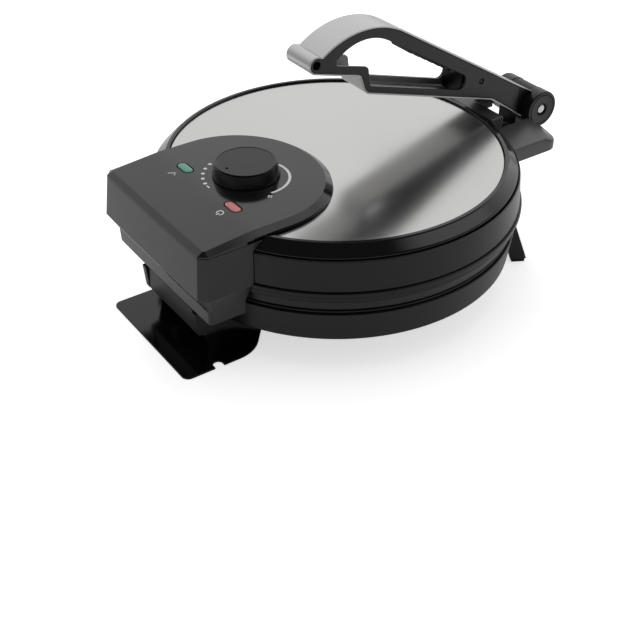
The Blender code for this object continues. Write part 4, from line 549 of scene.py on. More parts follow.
def soften(item, width, segments=3, angle=30):
    change = item.modifiers.new("soften", "BEVEL")
    change.width, change.segments = width * mm, segments
    change.limit_method, change.angle_limit = "ANGLE", math.radians(angle)
    change.harden_normals = False
    return settle(item)


def paintFaces(item, material, fits):
    item.data.materials.append(materials[material])
    for face in item.data.polygons:
        if fits(face):
            face.material_index = len(item.data.materials) - 1


def finishPiece(item, body, material, replaced=(), angle=35):
    # angle: edges sharper than this stay sharp
    if material is not None:
        item.data.materials.clear()
        item.data.materials.append(materials[material])
    item.data.shade_smooth()
    item.data.set_sharp_from_angle(angle=math.radians(angle))
    item.modifiers.new("evenShade", "WEIGHTED_NORMAL").keep_sharp = True
    settle(item)
    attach(item, body)
    if replaced:
        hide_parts(*replaced)
    return item


# geometry node trees
def geometryTree(name, inputs):
    return newTree("GeometryNodeTree", name, inputs, [("Geometry", "Geometry")])


def endTree(tree, out, geometry, material):
    realized = addNode(tree, "GeometryNodeRealizeInstances", {"Geometry": geometry}).outputs["Geometry"]
    painted = addNode(tree, "GeometryNodeSetMaterial", {"Geometry": realized, "Material": material})
    feed(tree, out[0], painted.outputs["Geometry"])


def runTree(name, made, values):
    tree, sockets = made
    carrier = bpy.data.objects.new(name, bpy.data.meshes.new(name + "Carrier"))
    bpy.context.scene.collection.objects.link(carrier)
    modifier = carrier.modifiers.new("nodes", "NODES")
    modifier.node_group = tree
    for label, value in values.items():
        modifier[sockets[label]] = value
    return settle(carrier)


def arcTree(name, material):
    # copies of a small disc spread along an arc, each turned to face outwards
    tree, given, out, sockets = geometryTree(name, [
        ("Count", "Int", 5), ("Radius", "Float", 0.033), ("Start", "Float", 0.0), ("Sweep", "Float", 1.0),
        ("Piece Radius", "Float", 0.001), ("Piece Height", "Float", 0.0001), ("Piece Sides", "Int", 20),
        ("Centre", "Vector", (0, 0, 0))])
    line = addNode(tree, "GeometryNodeMeshLine", {"Count": given["Count"]})
    index = tree.nodes.new("GeometryNodeInputIndex").outputs[0]
    last = mathNode(tree, "MAXIMUM", mathNode(tree, "SUBTRACT", given["Count"], 1.0), 1.0)
    share = mathNode(tree, "DIVIDE", index, last)
    angle = mathNode(tree, "ADD", mathNode(tree, "MULTIPLY", share, given["Sweep"]), given["Start"])
    place = addNode(tree, "ShaderNodeCombineXYZ", {
        label: mathNode(tree, "MULTIPLY", mathNode(tree, wave, angle), given["Radius"])
        for label, wave in (("X", "COSINE"), ("Y", "SINE"))})
    moved = addNode(tree, "ShaderNodeVectorMath", {0: place.outputs[0], 1: given["Centre"]}, operation="ADD")
    points = addNode(tree, "GeometryNodeSetPosition", {
        "Geometry": line.outputs["Mesh"], "Position": moved.outputs[0]})
    disc = addNode(tree, "GeometryNodeMeshCylinder", {
        "Vertices": given["Piece Sides"], "Radius": given["Piece Radius"], "Depth": given["Piece Height"]})
    facing = addNode(tree, "ShaderNodeCombineXYZ", {"Z": angle})
    spread = addNode(tree, "GeometryNodeInstanceOnPoints", {
        "Points": points.outputs["Geometry"], "Instance": disc.outputs["Mesh"],
        "Rotation": facing.outputs[0]})
    endTree(tree, out, spread.outputs["Instances"], material)
    return tree, sockets


def ribTree(name, material):
    # round bars across the grip, evenly spaced from start to end
    tree, given, out, sockets = geometryTree(name, [
        ("Count", "Int", 6), ("Start", "Vector", (0, 0, 0)), ("End", "Vector", (0, 0, 1)),
        ("Rib Radius", "Float", 0.003), ("Rib Length", "Float", 0.02), ("Rib Sides", "Int", 24)])
    line = addNode(tree, "GeometryNodeMeshLine", {
        "Count": given["Count"], "Start Location": given["Start"], "Offset": given["End"]}, mode="END_POINTS")
    bar = addNode(tree, "GeometryNodeMeshCylinder", {
        "Vertices": given["Rib Sides"], "Radius": given["Rib Radius"], "Depth": given["Rib Length"]})
    spread = addNode(tree, "GeometryNodeInstanceOnPoints", {
        "Points": line.outputs["Mesh"], "Instance": bar.outputs["Mesh"], "Rotation": (0, math.pi / 2, 0)})
    endTree(tree, out, spread.outputs["Instances"], material)
    return tree, sockets


def ringTree(name, material):
    # a bent round bar: an arc swept with a circle and closed at its ends
    tree, given, out, sockets = geometryTree(name, [
        ("Radius", "Float", 0.085), ("Tube Radius", "Float", 0.0035), ("Start", "Float", 0.0),
        ("Sweep", "Float", 5.0), ("Centre", "Vector", (0, 0, 0)), ("Arc Steps", "Int", 120),
        ("Tube Sides", "Int", 18)])
    arc = addNode(tree, "GeometryNodeCurveArc", {
        "Resolution": given["Arc Steps"], "Radius": given["Radius"], "Start Angle": given["Start"],
        "Sweep Angle": given["Sweep"]})
    circle = addNode(tree, "GeometryNodeCurvePrimitiveCircle", {
        "Resolution": given["Tube Sides"], "Radius": given["Tube Radius"]})
    sweep = addNode(tree, "GeometryNodeCurveToMesh", {
        "Curve": arc.outputs["Curve"], "Profile Curve": circle.outputs["Curve"], "Fill Caps": True})
    moved = addNode(tree, "GeometryNodeTransform", {
        "Geometry": sweep.outputs["Mesh"], "Translation": given["Centre"]})
    endTree(tree, out, moved.outputs["Geometry"], material)
    return tree, sockets


satin = "satin_black_plastic"  # slot name listed for most turned pieces; nothing in the script reads it

# round body; a profile is a list of (radius, height, corner radius)
turnedValues = {
    "baseShell": {
        "body": "base", "material": "basePlastic", "node": "base_shell", "slot": satin,
        "segments": 240, "ring": True, "profile": [
            (130.0, 32.0, 0.4), (142.2, 32.0, 2.2), (145.75, 57.4, 0.9), (143.1, 57.4, 0.5),
            (139.4, 34.5, 1.0), (130.0, 34.5, 0.4)]},
    "lidSkirt": {
        "body": "lid", "material": "lidWallPlastic", "node": "lid_skirt", "slot": satin,
        "segments": 240, "ring": True, "profile": [
            (139.5, 61.0, 0.2), (144.2, 61.0, 0.8), (146.5, 69.1, 0.4), (145.4, 69.1, 0.2),
            (145.4, 69.9, 0.2), (147.8, 69.9, 0.4), (147.8, 73.8, 0.4), (146.6, 73.8, 0.2),
            (146.6, 74.6, 0.2), (149.5, 74.6, 0.8), (149.5, 78.3, 0.9), (142.6, 78.3, 0.2),
            (142.6, 62.1, 0.2), (139.5, 62.1, 0.2)]},
    "lidRim": {
        "body": "lid", "material": "rimGloss", "node": "lid_rim", "slot": "gloss_black_plastic",
        "segments": 240, "ring": True, "profile": [
            (148.0, 78.6, 0.5), (146.2, 102.7, 0.3), (145.5, 102.9, 0.1), (145.5, 103.5, 0.1),
            (146.1, 103.8, 2.4), (136.7, 111.9, 0.8), (136.1, 112.9, 0.4), (133.2, 112.9, 0.4),
            (133.2, 110.0, 0.1), (129.0, 110.0, 0.1), (129.0, 107.4, 0.1), (133.2, 107.4, 0.1),
            (142.6, 101.3, 0.5), (144.9, 78.6, 0.3)]},
    "lowerPlate": {
        "body": "base", "material": "coatedPlate", "node": "lower_cooking_plate", "slot": "coated_plate",
        "segments": 200, "ring": False, "profile": [
            (2.0, 59.0, 0), (126.6, 59.0, 0.3), (127.2, 58.3, 0.2), (128.6, 58.3, 0.2), (129.2, 59.0, 0.4),
            (143.5, 59.0, 0.5), (143.5, 57.7, 0.3), (136.9, 57.7, 0.5), (136.9, 54.0, 0.6), (2.0, 54.0, 0)]},
    "upperPlate": {
        "body": "lid", "material": "coatedPlate", "node": "upper_cooking_plate", "slot": "coated_plate",
        "segments": 200, "ring": False, "profile": [
            (2.0, 60.9, 0), (126.6, 60.9, 0.3), (127.2, 61.5, 0.2), (128.6, 61.5, 0.2), (129.2, 60.9, 0.4),
            (136.5, 60.9, 0.5), (136.5, 62.4, 0.2), (142.1, 62.4, 0.2), (142.1, 63.7, 0.2),
            (136.5, 63.7, 0.4), (136.5, 65.8, 0.6), (2.0, 65.8, 0)]},
    "bottomCover": {
        "body": "base", "material": "darkPlastic", "node": "base_bottom_cover", "slot": satin,
        "segments": 160, "ring": False, "profile": [
            (2.0, 31.7, 0), (133.4, 31.7, 0.3), (133.4, 29.0, 1.4), (112.0, 29.0, 0.5), (111.0, 30.0, 0.4),
            (36.0, 30.0, 0.4), (35.0, 29.0, 0.5), (2.0, 29.0, 0)]},
}
rimWall = {"upright": 0.3, "outside": 144.0}  # the rim's faces that are less glossy than its bevel


def makeTurned(name):
    v = turnedValues[name]
    return spun(name, v["profile"], v["segments"], (0, 0, 0), v["ring"], wideStep, False)


def finishTurned(item):
    v = turnedValues[item.name]
    return finishPiece(item, v["body"], v["material"], [v["node"]])


def onRimWall(face):
    away = math.hypot(face.center.x, face.center.y - bodyY)
    return abs(face.normal.z) < rimWall["upright"] and away > rimWall["outside"] * mm


coverValues = {
    "centre": 2.0, "radius": 132.9, "under": 110.2, "sheet": 1.1, "crown": 0.8, "innerCrown": 0.9,
    "edgeRoll": 0.7, "rollSteps": 4, "rings": 40, "segments": 240, "cutBelow": 3, "cutAbove": 6,
    # hole centre and radius for the shaft and the two lamps
    "holes": [(0, 83.3, 7.5), (35.4, 116.3, 6.2), (-35.4, 116.3, 6.2)],
}


def makeSteelCover(v):
    profile = []
    top, roll = v["under"] + v["sheet"], v["edgeRoll"]
    for step in range(v["rings"]):
        radius = v["centre"] + (v["radius"] - roll - v["centre"]) * step / (v["rings"] - 1)
        profile.append((radius, top + v["crown"] * (1 - (radius / v["radius"]) ** 2)))
    for step in range(1, v["rollSteps"] + 1):
        angle = math.pi / 2 * step / v["rollSteps"]
        profile.append((v["radius"] - roll * (1 - math.sin(angle)), top - roll * (1 - math.cos(angle))))
    profile += [(v["radius"], v["under"]), (v["centre"], v["under"] + v["crown"] * v["innerCrown"])]
    item = meshObject("steelCover", turned(profile, v["segments"]))
    for x, y, radius in v["holes"]:
        drill(item, radius, v["under"] - v["cutBelow"], v["under"] + v["cutAbove"], (x, y, 0))
    lines = item.data.uv_layers.new(name="turnedLines")
    for loop in item.data.loops:  # U follows the turned lines, V the radius
        x, y, _ = item.data.vertices[loop.vertex_index].co
        lines.data[loop.index].uv = (math.atan2(y - bodyY, x) / math.tau, math.hypot(x, y - bodyY))
    finishPiece(item, "lid", "coverSteel", ["lid_steel_cover"], angle=30)


def stadium(long, wide, steps=10, shift=0.0):
    half = (long - wide) / 2
    points = []
    for centre, start in ((half, -math.pi / 2), (-half, math.pi / 2)):
        points += arcPoints(wide / 2, start, math.pi, steps, (shift + centre, 0))
    return points


ventValues = {
    "count": 6, "turn": 1.0, "placeRadius": 70.0, "length": 34.0, "width": 5.0, "endSteps": 8, "cutLow": 25,
    "cutHigh": 36, "screwRadius": 129.9, "screwCount": 3, "screwSides": 32, "screwStep": math.radians(20),
    "screw": [(0.4, 26.9, 0), (3.1, 26.9, 0.8), (3.6, 27.9, 0.3), (3.6, 28.6, 0.1), (1.8, 28.6, 0),
              (1.8, 31.3, 0), (0.4, 31.3, 0)],
    "crossLong": 2.0, "crossWide": 0.35, "crossLow": 26.0, "crossTop": 27.7,
}


def makeBottomCover(v):
    item = makeTurned("bottomCover")
    for index in range(v["count"]):
        outline = stadium(v["length"], v["width"], v["endSteps"], v["placeRadius"])
        vent = lofted([(v["cutLow"], outline), (v["cutHigh"], outline)])
        carve(item, turnedAbout(vent, 360 * (index + 0.5) / v["count"] + v["turn"]))
    finishTurned(item)
    for index in range(v["screwCount"]):  # pan heads facing down, with a cross recess
        angle = math.tau * index / v["screwCount"] - math.pi / 2
        place = (*polar(v["screwRadius"], angle), 0)
        screw = spun(f"coverScrew{index + 1}", v["screw"], v["screwSides"], place,
                     arcStep=v["screwStep"], sideways=False)
        for x, y in ((v["crossLong"], v["crossWide"]), (v["crossWide"], v["crossLong"])):
            carve(screw, block((-x, -y, v["crossLow"]), (x, y, v["crossTop"])), place)
        finishPiece(screw, "base", "brightScrew", [f"cover_screw_{index + 1}"])


heaterValues = {
    "ring": {"Radius": 0.085, "Tube Radius": 0.0035, "Start": math.radians(120), "Sweep": math.radians(300)},
    "levels": {"lowerElement": ("base", "lower_heating_element"),
               "upperElement": ("lid", "upper_heating_element")},
}


def makeHeaters(v):
    bentRing = ringTree("bentRing", materials["heatingTube"])
    for name, (body, node) in v["levels"].items():
        low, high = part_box(node)
        item = runTree(name, bentRing, {**v["ring"], "Centre": (0, bodyY, (low.z + high.z) / 2)})
        finishPiece(item, body, None, [node])


for pieceName in turnedValues:
    if pieceName != "bottomCover":
        finishTurned(makeTurned(pieceName))
paintFaces(bpy.data.objects["lidRim"], "lidWallPlastic", onRimWall)
makeSteelCover(coverValues)
makeBottomCover(ventValues)
makeHeaters(heaterValues)
print("round body ready")


# control box
boxValues = {
    "levels": [  # height, half width, rear, corner, roundness, move of the hollow's end
        (51.0, 72.0, 161.6, 3.2, 1.0, -5.0), (63.0, 72.4, 162.0, 3.2, 1.0, 0.0),
        (77.5, 78.1, 170.6, 5.7, 0.0, 0.0), (110.7, 75.7, 167.1, 5.7, 0.0, 5.0)],
    "front": 112.0, "bulge": 0.5, "wall": 2.5, "hollowFront": -5.0, "cornerSteps": 8, "edgeSteps": 24,
    "edge": 0.5, "bodyClear": [(149.8, 40.0), (149.8, 78.6), (148.6, 78.6), (146.7, 104.1), (136.9, 112.4)],
}


def boxOutline(v, half, rear, corner, roundness, inset=0.0, frontShift=0.0):
    half, rear = half - inset, rear - inset
    edge = rear - v["bulge"]
    right = [(half, v["front"] + frontShift)]
    for step in range(v["cornerSteps"] + 1):
        share = step / v["cornerSteps"]
        angle = share * math.pi / 2
        arc = polar(corner, angle, (half - corner, edge - corner))
        flat = (half - corner * share, edge - corner + corner * share)
        right.append(tuple(roundness * a + (1 - roundness) * b for a, b in zip(arc, flat)))
    end = half - corner
    for step in range(1, v["edgeSteps"] // 2):
        x = end * (1 - 2 * step / v["edgeSteps"])
        right.append((x, edge + v["bulge"] * (1 - (x / end) ** 2)))
    return right + [(0, rear)] + [(-x, y) for x, y in reversed(right)]


def makeControlHousing(v):
    shell, hollow = [], []
    for height, half, rear, corner, roundness, move in v["levels"]:
        shell.append((height, boxOutline(v, half, rear, corner, roundness)))
        inner = boxOutline(v, half, rear, corner, roundness, v["wall"], v["hollowFront"])
        hollow.append((height + move, inner))
    item = meshObject("controlHousing", lofted(shell))
    soften(item, v["edge"], angle=25)
    carve(item, lofted(hollow))
    carve(item, turned(v["bodyClear"], roundSides))
    finishPiece(item, "lid", "housingPlastic", ["control_housing"], angle=30)


panelValues = {
    # height, fall at the rear, half width, rear, tongue half width, corner
    "levels": [(111.0, 0.0, 75.7, 167.1, 76.8, 5.7), (114.5, 2.9, 75.7, 167.1, 75.7, 5.7),
               (118.0, 4.1, 70.7, 162.1, 70.7, 1.2)],
    "bulge": 0.5, "tongueY": 91.5, "flatten": 5.3, "blend": 31.0, "steps": 48, "blendSteps": 12,
    "sideSteps": 8, "rearSteps": 12, "fallStart": 116.0, "fallEase": 12.0, "edge": 0.75, "shaftY": 83.3,
    "shaftHole": 5.1, "cutLow": 105, "cutHigh": 125,
    "under": [(149.8, 100.0), (149.8, 113.2), (132.9, 113.2), (132.9, 112.4)], "lensX": 35.4,
    "lensY": 116.3, "lensLong": 18.0, "lensWide": 8.8, "lensGap": 0.5,
    # faces that slope between these, above this height, are glossier than the top
    "slopeLow": -0.5, "slopeHigh": 0.97, "glossFrom": 107.0,
}


def panelFall(y):
    # share of the fall towards the rear at a place, easing in from level
    v = panelValues
    end, ease = v["levels"][0][3], v["fallEase"]
    along = max(y - v["fallStart"], 0.0)
    eased = along * along / (2 * ease) if along < ease else along - ease / 2
    return eased / (end - v["fallStart"] - ease / 2)


def panelOutline(v, half, rear, tongue, corner):
    edge = rear - v["bulge"]
    right, end = [], half - corner
    for step in range(1, v["rearSteps"]):
        x = end * step / v["rearSteps"]
        right.append((x, edge + v["bulge"] * (1 - (x / end) ** 2)))
    right += [(end, edge), (half, edge - corner)]
    blendStart = v["tongueY"] + v["blend"]
    for step in range(1, v["sideSteps"]):
        right.append((half, edge - corner + (blendStart - edge + corner) * step / v["sideSteps"]))
    for step in range(v["blendSteps"]):
        share = step / v["blendSteps"]
        swell = (1 - math.cos(math.pi * share)) / 2
        right.append((half + (tongue - half) * swell, blendStart - v["blend"] * share))
    reach = tongue - v["flatten"]
    for step in range(v["steps"]):
        angle = math.pi / 2 * step / v["steps"]
        right.append((tongue * math.cos(angle), v["tongueY"] - reach * math.sin(angle)))
    return [(0, rear)] + right + [(0, v["tongueY"] - reach)] + [(-x, y) for x, y in reversed(right)]


def makeControlPanel(v):
    places = []
    for level, fall, half, rear, tongue, corner in v["levels"]:
        outline = panelOutline(v, half, rear, tongue, corner)
        places.append([(x, y, level - fall * panelFall(y)) for x, y in outline])
    bm = loftRings(places)
    bm.verts.ensure_lookup_table()
    top = bm.verts[-len(places[-1]):]
    bm.faces.remove(bm.faces.get(top))  # the top follows the fall, in strips from side to side
    last = len(top)
    bm.faces.new((top[0], top[1], top[-1]))
    for index in range(1, last // 2 - 1):
        bm.faces.new((top[index], top[index + 1], top[last - index - 1], top[last - index]))
    bm.faces.new((top[last // 2 - 1], top[last // 2], top[last // 2 + 1]))
    item = meshObject("controlPanel", bm)
    soften(item, v["edge"], angle=20)
    carve(item, turned(v["under"], roundSides))
    drill(item, v["shaftHole"], v["cutLow"], v["cutHigh"], (0, v["shaftY"], 0))
    window = stadium(v["lensLong"] + v["lensGap"], v["lensWide"] + v["lensGap"])
    for side in (-1, 1):
        cutter = lofted([(v["cutLow"], window), (v["cutHigh"], window)])
        carve(item, cutter, (side * v["lensX"], v["lensY"], 0))
    finishPiece(item, "lid", "panelPlastic", ["control_panel"], angle=25)
    paintFaces(item, "rimGloss", lambda face: v["slopeLow"] < face.normal.z <= v["slopeHigh"]
               and face.center.z > v["glossFrom"] * mm)


lensValues = {
    "lenses": {"ready": (1, "green_lens"), "power": (-1, "red_lens")},
    # inset and height of each level
    "levels": [(0, 112.4), (0, 113.6), (0.7, 113.6), (0.7, 117.9), (0.95, 118.2), (1.5, 118.45),
               (2.5, 118.66)],
}


def makeLenses(v):
    long, wide, x, y = (panelValues[key] for key in ("lensLong", "lensWide", "lensX", "lensY"))
    for name, (side, slotName) in v["lenses"].items():
        levels = [(z, stadium(long - 2 * inset, wide - 2 * inset)) for inset, z in v["levels"]]
        item = meshObject(f"{name}Lens", lofted(levels), (side * x, y, 0))
        finishPiece(item, "lid", f"{name}Lens", [f"{name}_lens"], angle=50)


knobValues = {
    "y": 83.3, "segments": 160,
    "profile": [(0.5, 129.3, 0), (22.0, 129.3, 0.3), (22.35, 129.6, 0.2), (23.1, 129.6, 0.5),
                (23.8, 128.5, 0.9), (25.9, 119.6, 0.5), (26.2, 118.5, 0.3), (0.5, 118.5, 0)],
    "markPlace": (-1.4, 100.6, 0), "mark": [(0.75, 128.4), (1.5, 129.5)], "markSides": 24,
}


def makeKnob(v):
    item = spun("knob", v["profile"], v["segments"], (0, v["y"], 0), sideways=False)
    carve(item, turned(v["mark"], v["markSides"]), v["markPlace"])
    finishPiece(item, "knob", "knobPlastic", ["thermostat_knob"])


dialValues = {
    "y": 83.4, "level": 118.06, "height": 0.12, "arcCentre": (-7.7, 80.9), "arcRadius": 26.9,
    "arcWidth": 2.1, "arcSteps": 48, "arcStart": math.radians(-76), "arcSweep": math.radians(-108),
    "markWidth": 1.3, "dotCount": 5, "dotCircle": 33.0, "dotRadius": 1.5, "dotStart": math.radians(26),
    "dotSweep": math.radians(54), "dotSides": 24,
    "marks": {"offMark": [[(-2.0, 116.6), (2.0, 116.6)]],
              "hotMark": [[(-40.3, 86.3), (-36.3, 86.3)], [(-38.3, 84.3), (-38.3, 88.3)]]},
    # plain signs beside the lamps: a tick for ready, a ring and bar for power
    "signWidth": 0.9, "tick": [(31.2, 128.4), (33.4, 126.0), (37.2, 130.6)],
    "ring": (2.6, math.radians(125), math.radians(290), 24, (-36.5, 128.0)),
    "bar": [(-36.5, 128.6), (-36.5, 131.4)],
}


def ribbon(points, width, low, high):
    # a flat stroke of constant width along a run of points
    left, right = [], []
    for index, point in enumerate(points):
        ahead = Vector(points[min(index + 1, len(points) - 1)])
        behind = Vector(points[max(index - 1, 0)])
        run = (ahead - behind).normalized()
        side = Vector((-run.y, run.x)) * width / 2
        left.append(tuple(Vector(point) + side))
        right.append(tuple(Vector(point) - side))
    return lofted([(low, left + right[::-1]), (high, left + right[::-1])])


def makeDial(v):
    low, high = v["level"] - v["height"] / 2, v["level"] + v["height"] / 2

    def addPrint(name, points, width, follow=False):
        stroke = ribbon(points, width, low, high)
        for vert in stroke.verts if follow else ():  # the panel falls towards the rear
            vert.co.z -= panelValues["levels"][-1][1] * panelFall(vert.co.y)
        finishPiece(meshObject(name, stroke), "lid", "printWhite", ())

    arc = arcPoints(v["arcRadius"], v["arcStart"], v["arcSweep"], v["arcSteps"], v["arcCentre"])
    addPrint("dialArc", arc, v["arcWidth"])
    dots = runTree("dialDots", arcTree("dialDots", materials["printWhite"]), {
        "Count": v["dotCount"], "Radius": v["dotCircle"] * mm, "Start": v["dotStart"], "Sweep": v["dotSweep"],
        "Piece Radius": v["dotRadius"] * mm, "Piece Height": v["height"] * mm, "Piece Sides": v["dotSides"],
        "Centre": (0, bodyY + v["y"] * mm, v["level"] * mm)})
    finishPiece(dots, "lid", None, ())
    for name, strokes in v["marks"].items():
        for index, stroke in enumerate(strokes):
            addPrint(f"{name}{index + 1}", stroke, v["markWidth"])
    signs = {"readySign1": v["tick"], "powerSign1": arcPoints(*v["ring"]), "powerSign2": v["bar"]}
    for name, points in signs.items():
        addPrint(name, points, v["signWidth"], True)


makeControlHousing(boxValues)
makeControlPanel(panelValues)
makeLenses(lensValues)
makeKnob(knobValues)
makeDial(dialValues)
print("control box ready")


# front tab, bracket and barrel
tabValues = {
    "reach": 193.0, "half": 64.0, "corner": 12.0, "cornerShare": 0.75, "apexShare": 0.35, "cornerSteps": 8,
    "steps": 36, "root": 118.0, "bottom": 87.0, "top": 100.0, "bandDrop": 5.2, "bandWidth": 9.0,
    "bandSide": 0.6, "slotHalf": 26.0, "slotOver": 5, "padHalf": 28.0, "padInner": 139.5, "padOuter": 152.6,
    "padLow": 98.0, "padTop": 110.7, "padEdge": 0.8, "edge": 1.2,
    "rimClear": [(10.0, 80.0), (148.7, 80.0), (146.7, 104.1), (136.9, 112.4), (10.0, 112.4)],
}


def tabOutline(v, reach, half):
    inset = v["corner"] * v["cornerShare"]
    sideEnd = -math.sqrt(reach ** 2 - half ** 2) + inset
    blend = math.asin((half - inset) / reach)
    start, tip = Vector((half, sideEnd)), Vector((reach * math.sin(blend), -reach * math.cos(blend)))
    apex = Vector((half, tip.y + (half - tip.x) * v["apexShare"]))
    bend = []
    for step in range(1, v["cornerSteps"]):
        t = step / v["cornerSteps"]
        bend.append(tuple(start * (1 - t) ** 2 + apex * 2 * t * (1 - t) + tip * t ** 2))
    angles = [blend * (1 - 2 * step / v["steps"]) for step in range(v["steps"] + 1)]
    front = [(reach * math.sin(a), -reach * math.cos(a)) for a in angles]
    right = [(half, -v["root"]), tuple(start), *bend]
    return right + front + [(-x, y) for x, y in reversed(right)]


def makeFrontTab(v):
    wide = tabOutline(v, v["reach"], v["half"])
    narrow = tabOutline(v, v["reach"] - v["bandWidth"], v["half"] - v["bandSide"])
    levels = [(v["bottom"], wide), (v["top"] - v["bandDrop"], wide), (v["top"], narrow)]
    item = meshObject("frontTab", lofted(levels))
    over = v["slotOver"]
    carve(item, block((-v["slotHalf"], -v["reach"] - over, v["bottom"] - over),
                      (v["slotHalf"], -v["root"] + over, v["top"] + over)))
    soften(item, v["edge"], segments=4, angle=20)
    low, high = (-v["padHalf"], -v["padOuter"], v["padLow"]), (v["padHalf"], -v["padInner"], v["padTop"])
    combine(item, soften(meshObject("pressPad", block(low, high)), v["padEdge"]), "UNION")
    carve(item, turned(v["rimClear"], roundSides))
    finishPiece(item, "lid", "tabPlastic", ["front_tab"])


pivotY, pivotZ = -201.0, 102.0
bracketValues = {
    "half": 10.9, "bore": 3.4, "boreReach": 20,
    "outline": [(-151.4, 74.0, 0), (-208.5, 74.0, 5.0), (-208.5, 94.0, 0), (-186.5, 94.0, 0),
                (-186.5, 95.2, 0), (-183.8, 97.0, 0), (-183.8, 83.5, 4.0), (-151.4, 83.5, 0)],
    "knuckle": [(15.1, -10.95), (15.6, -10.573), (15.6, 10.573), (15.1, 10.95)], "knuckleSides": 96,
    "flangeLow": (-23.0, -152.8, 64.0), "flangeHigh": (23.0, -150.1, 97.4), "flangeEdge": 0.5, "edge": 0.6,
}


def makeBracket(v):
    place = (0, pivotY, pivotZ)
    item = meshObject("handleBracket", acrossX(softPath(v["outline"]), -v["half"], v["half"]))
    soften(item, v["edge"], angle=40)
    combine(item, meshObject("knuckle", alongX(turned(v["knuckle"], v["knuckleSides"])), place), "UNION")
    flange = meshObject("flange", block(v["flangeLow"], v["flangeHigh"]))
    combine(item, soften(flange, v["flangeEdge"], segments=2), "UNION")
    drill(item, v["bore"], -v["boreReach"], v["boreReach"], place, sides=48, sideways=True)
    finishPiece(item, "lid", "darkPlastic", ["handle_bracket"])


hubValues = {
    # (radius, place along the axis, corner radius), drawn for the right and mirrored for the left
    "hub": [(3.4, 11.3, 0.1), (16.0, 11.3, 0.3), (16.0, 24.5, 1.2), (13.4, 24.5, 0.2), (12.95, 23.6, 0.1),
            (12.5, 24.5, 0.2), (6.1, 24.25, 0.3), (5.3, 23.7, 0.3), (5.3, 21.8, 0.1), (3.4, 21.8, 0.1)],
    "bolt": [(0.5, -23.6, 0), (4.0, -23.6, 1.1), (4.0, -22.0, 0.1), (3.0, -22.0, 0), (3.0, 22.0, 0),
             (4.0, 22.0, 0.1), (4.0, 23.6, 1.1), (0.5, 23.6, 0)],
    "hubSides": 128, "boltSides": 64,
}


def makeBarrel(v):
    place = (0, pivotY, pivotZ)
    for side, name in ((-1, "left"), (1, "right")):
        profile = [(radius, side * x, corner) for radius, x, corner in v["hub"]]
        item = spun(f"barrelHub{name.title()}", profile, v["hubSides"], place, closed=True)
        finishPiece(item, "press_handle", "cheekPlastic", [f"barrel_hub_{name}"])
    bolt = spun("pivotBolt", v["bolt"], v["boltSides"], place)
    finishPiece(bolt, "lid", "brightScrew", ["handle_pivot_bolt"])


makeFrontTab(tabValues)
makeBracket(bracketValues)
makeBarrel(hubValues)
print("front tab and barrel ready")


# press handle, drawn as (y, z) from the pivot
handleValues = {
    "half": 15.5, "strap": 1.2, "gap": 0.3, "cheek": 2.8, "inset": 0.6, "edge": 0.35,
    "frontTop": (18.5, 23.35), "arch": (186.26, 126.74), "archRadius": 68.0, "arcStep": math.radians(4),
    "nose": (229.1, 95.2), "noseRadius": 7.0, "creaseTurn": math.radians(133.4), "creaseStandoff": 7.43,
    "creaseRadius": 1.2,
    "step": [(189.8, 76.6, 2.0), (184.45, 61.1, 8.7), (51.2, 19.5, 6.0), (18.5, -3.58, 0)], "barrel": 16.3,
    "hole": [(210.8, 90.4, 2.0), (181.5, 82.2, 3.5), (179.5, 66.1, 3.0), (83.0, 36.6, 6.0), (82.0, 48.9, 6.0),
             (184.7, 112.3, 40.0), (212.5, 94.0, 2.0)],
    "bore": 3.3, "tubeRadius": 5.4, "tubeSides": 64, "screw": (64.5, 39.5), "screwHole": 2.7,
    "screwHoleSides": 6, "screwCore": 0.4, "screwRadius": 1.9, "screwInset": 0.4, "screwEdge": 0.5,
    "screwSides": 32, "middle": (150.0, 78.0), "paintedShadeSlope": -0.2, "paintedShadeTilt": 0.2, "liningFlat": 0.8,
    "gripStart": 84.0, "gripEnd": 140.0, "gripDepth": 11.5, "gripEdge": 0.5, "gripLip": 4, "gripToe": 7,
    "gripToeRise": 1.5, "gripToeRadius": 5.0, "gripTailRise": 0.5, "gripRadius": 1.0, "ribCount": 7,
    "ribRadius": 3.0, "ribInset": 0.4, "ribDepth": 9.3, "ribStart": 4, "ribEnd": 10,
}


def strapOutline(v, offset, closed=True):
    nose, radius = Vector(v["nose"]), v["noseRadius"]
    crease = polar(v["creaseStandoff"], v["creaseTurn"], nose)
    first = v["creaseTurn"] - math.acos(radius / v["creaseStandoff"])
    run = Vector(v["step"][0][:2]) - nose
    last = math.atan2(run.y, run.x) + math.acos(radius / run.length)
    spread = (first - last) / 4
    corners = [(*v["frontTop"], 0), (*v["arch"], v["archRadius"]), (*crease, v["creaseRadius"])]
    for angle in (first - spread, last + spread):
        corners.append((*polar(radius / math.cos(spread), angle, nose), radius))
    return softPath(corners + v["step"], offset, closed, v["arcStep"])


def toBarrel(v, points):
    # carry both ends of a run of points on to the barrel
    for end, before in ((0, 1), (-1, -2)):
        start = Vector(points[end])
        run = (start - Vector(points[before])).normalized()
        ahead = -start.dot(run)
        miss = start.length_squared - ahead ** 2
        points[end] = tuple(start + run * (ahead - math.sqrt(v["barrel"] ** 2 - miss)))
    return points


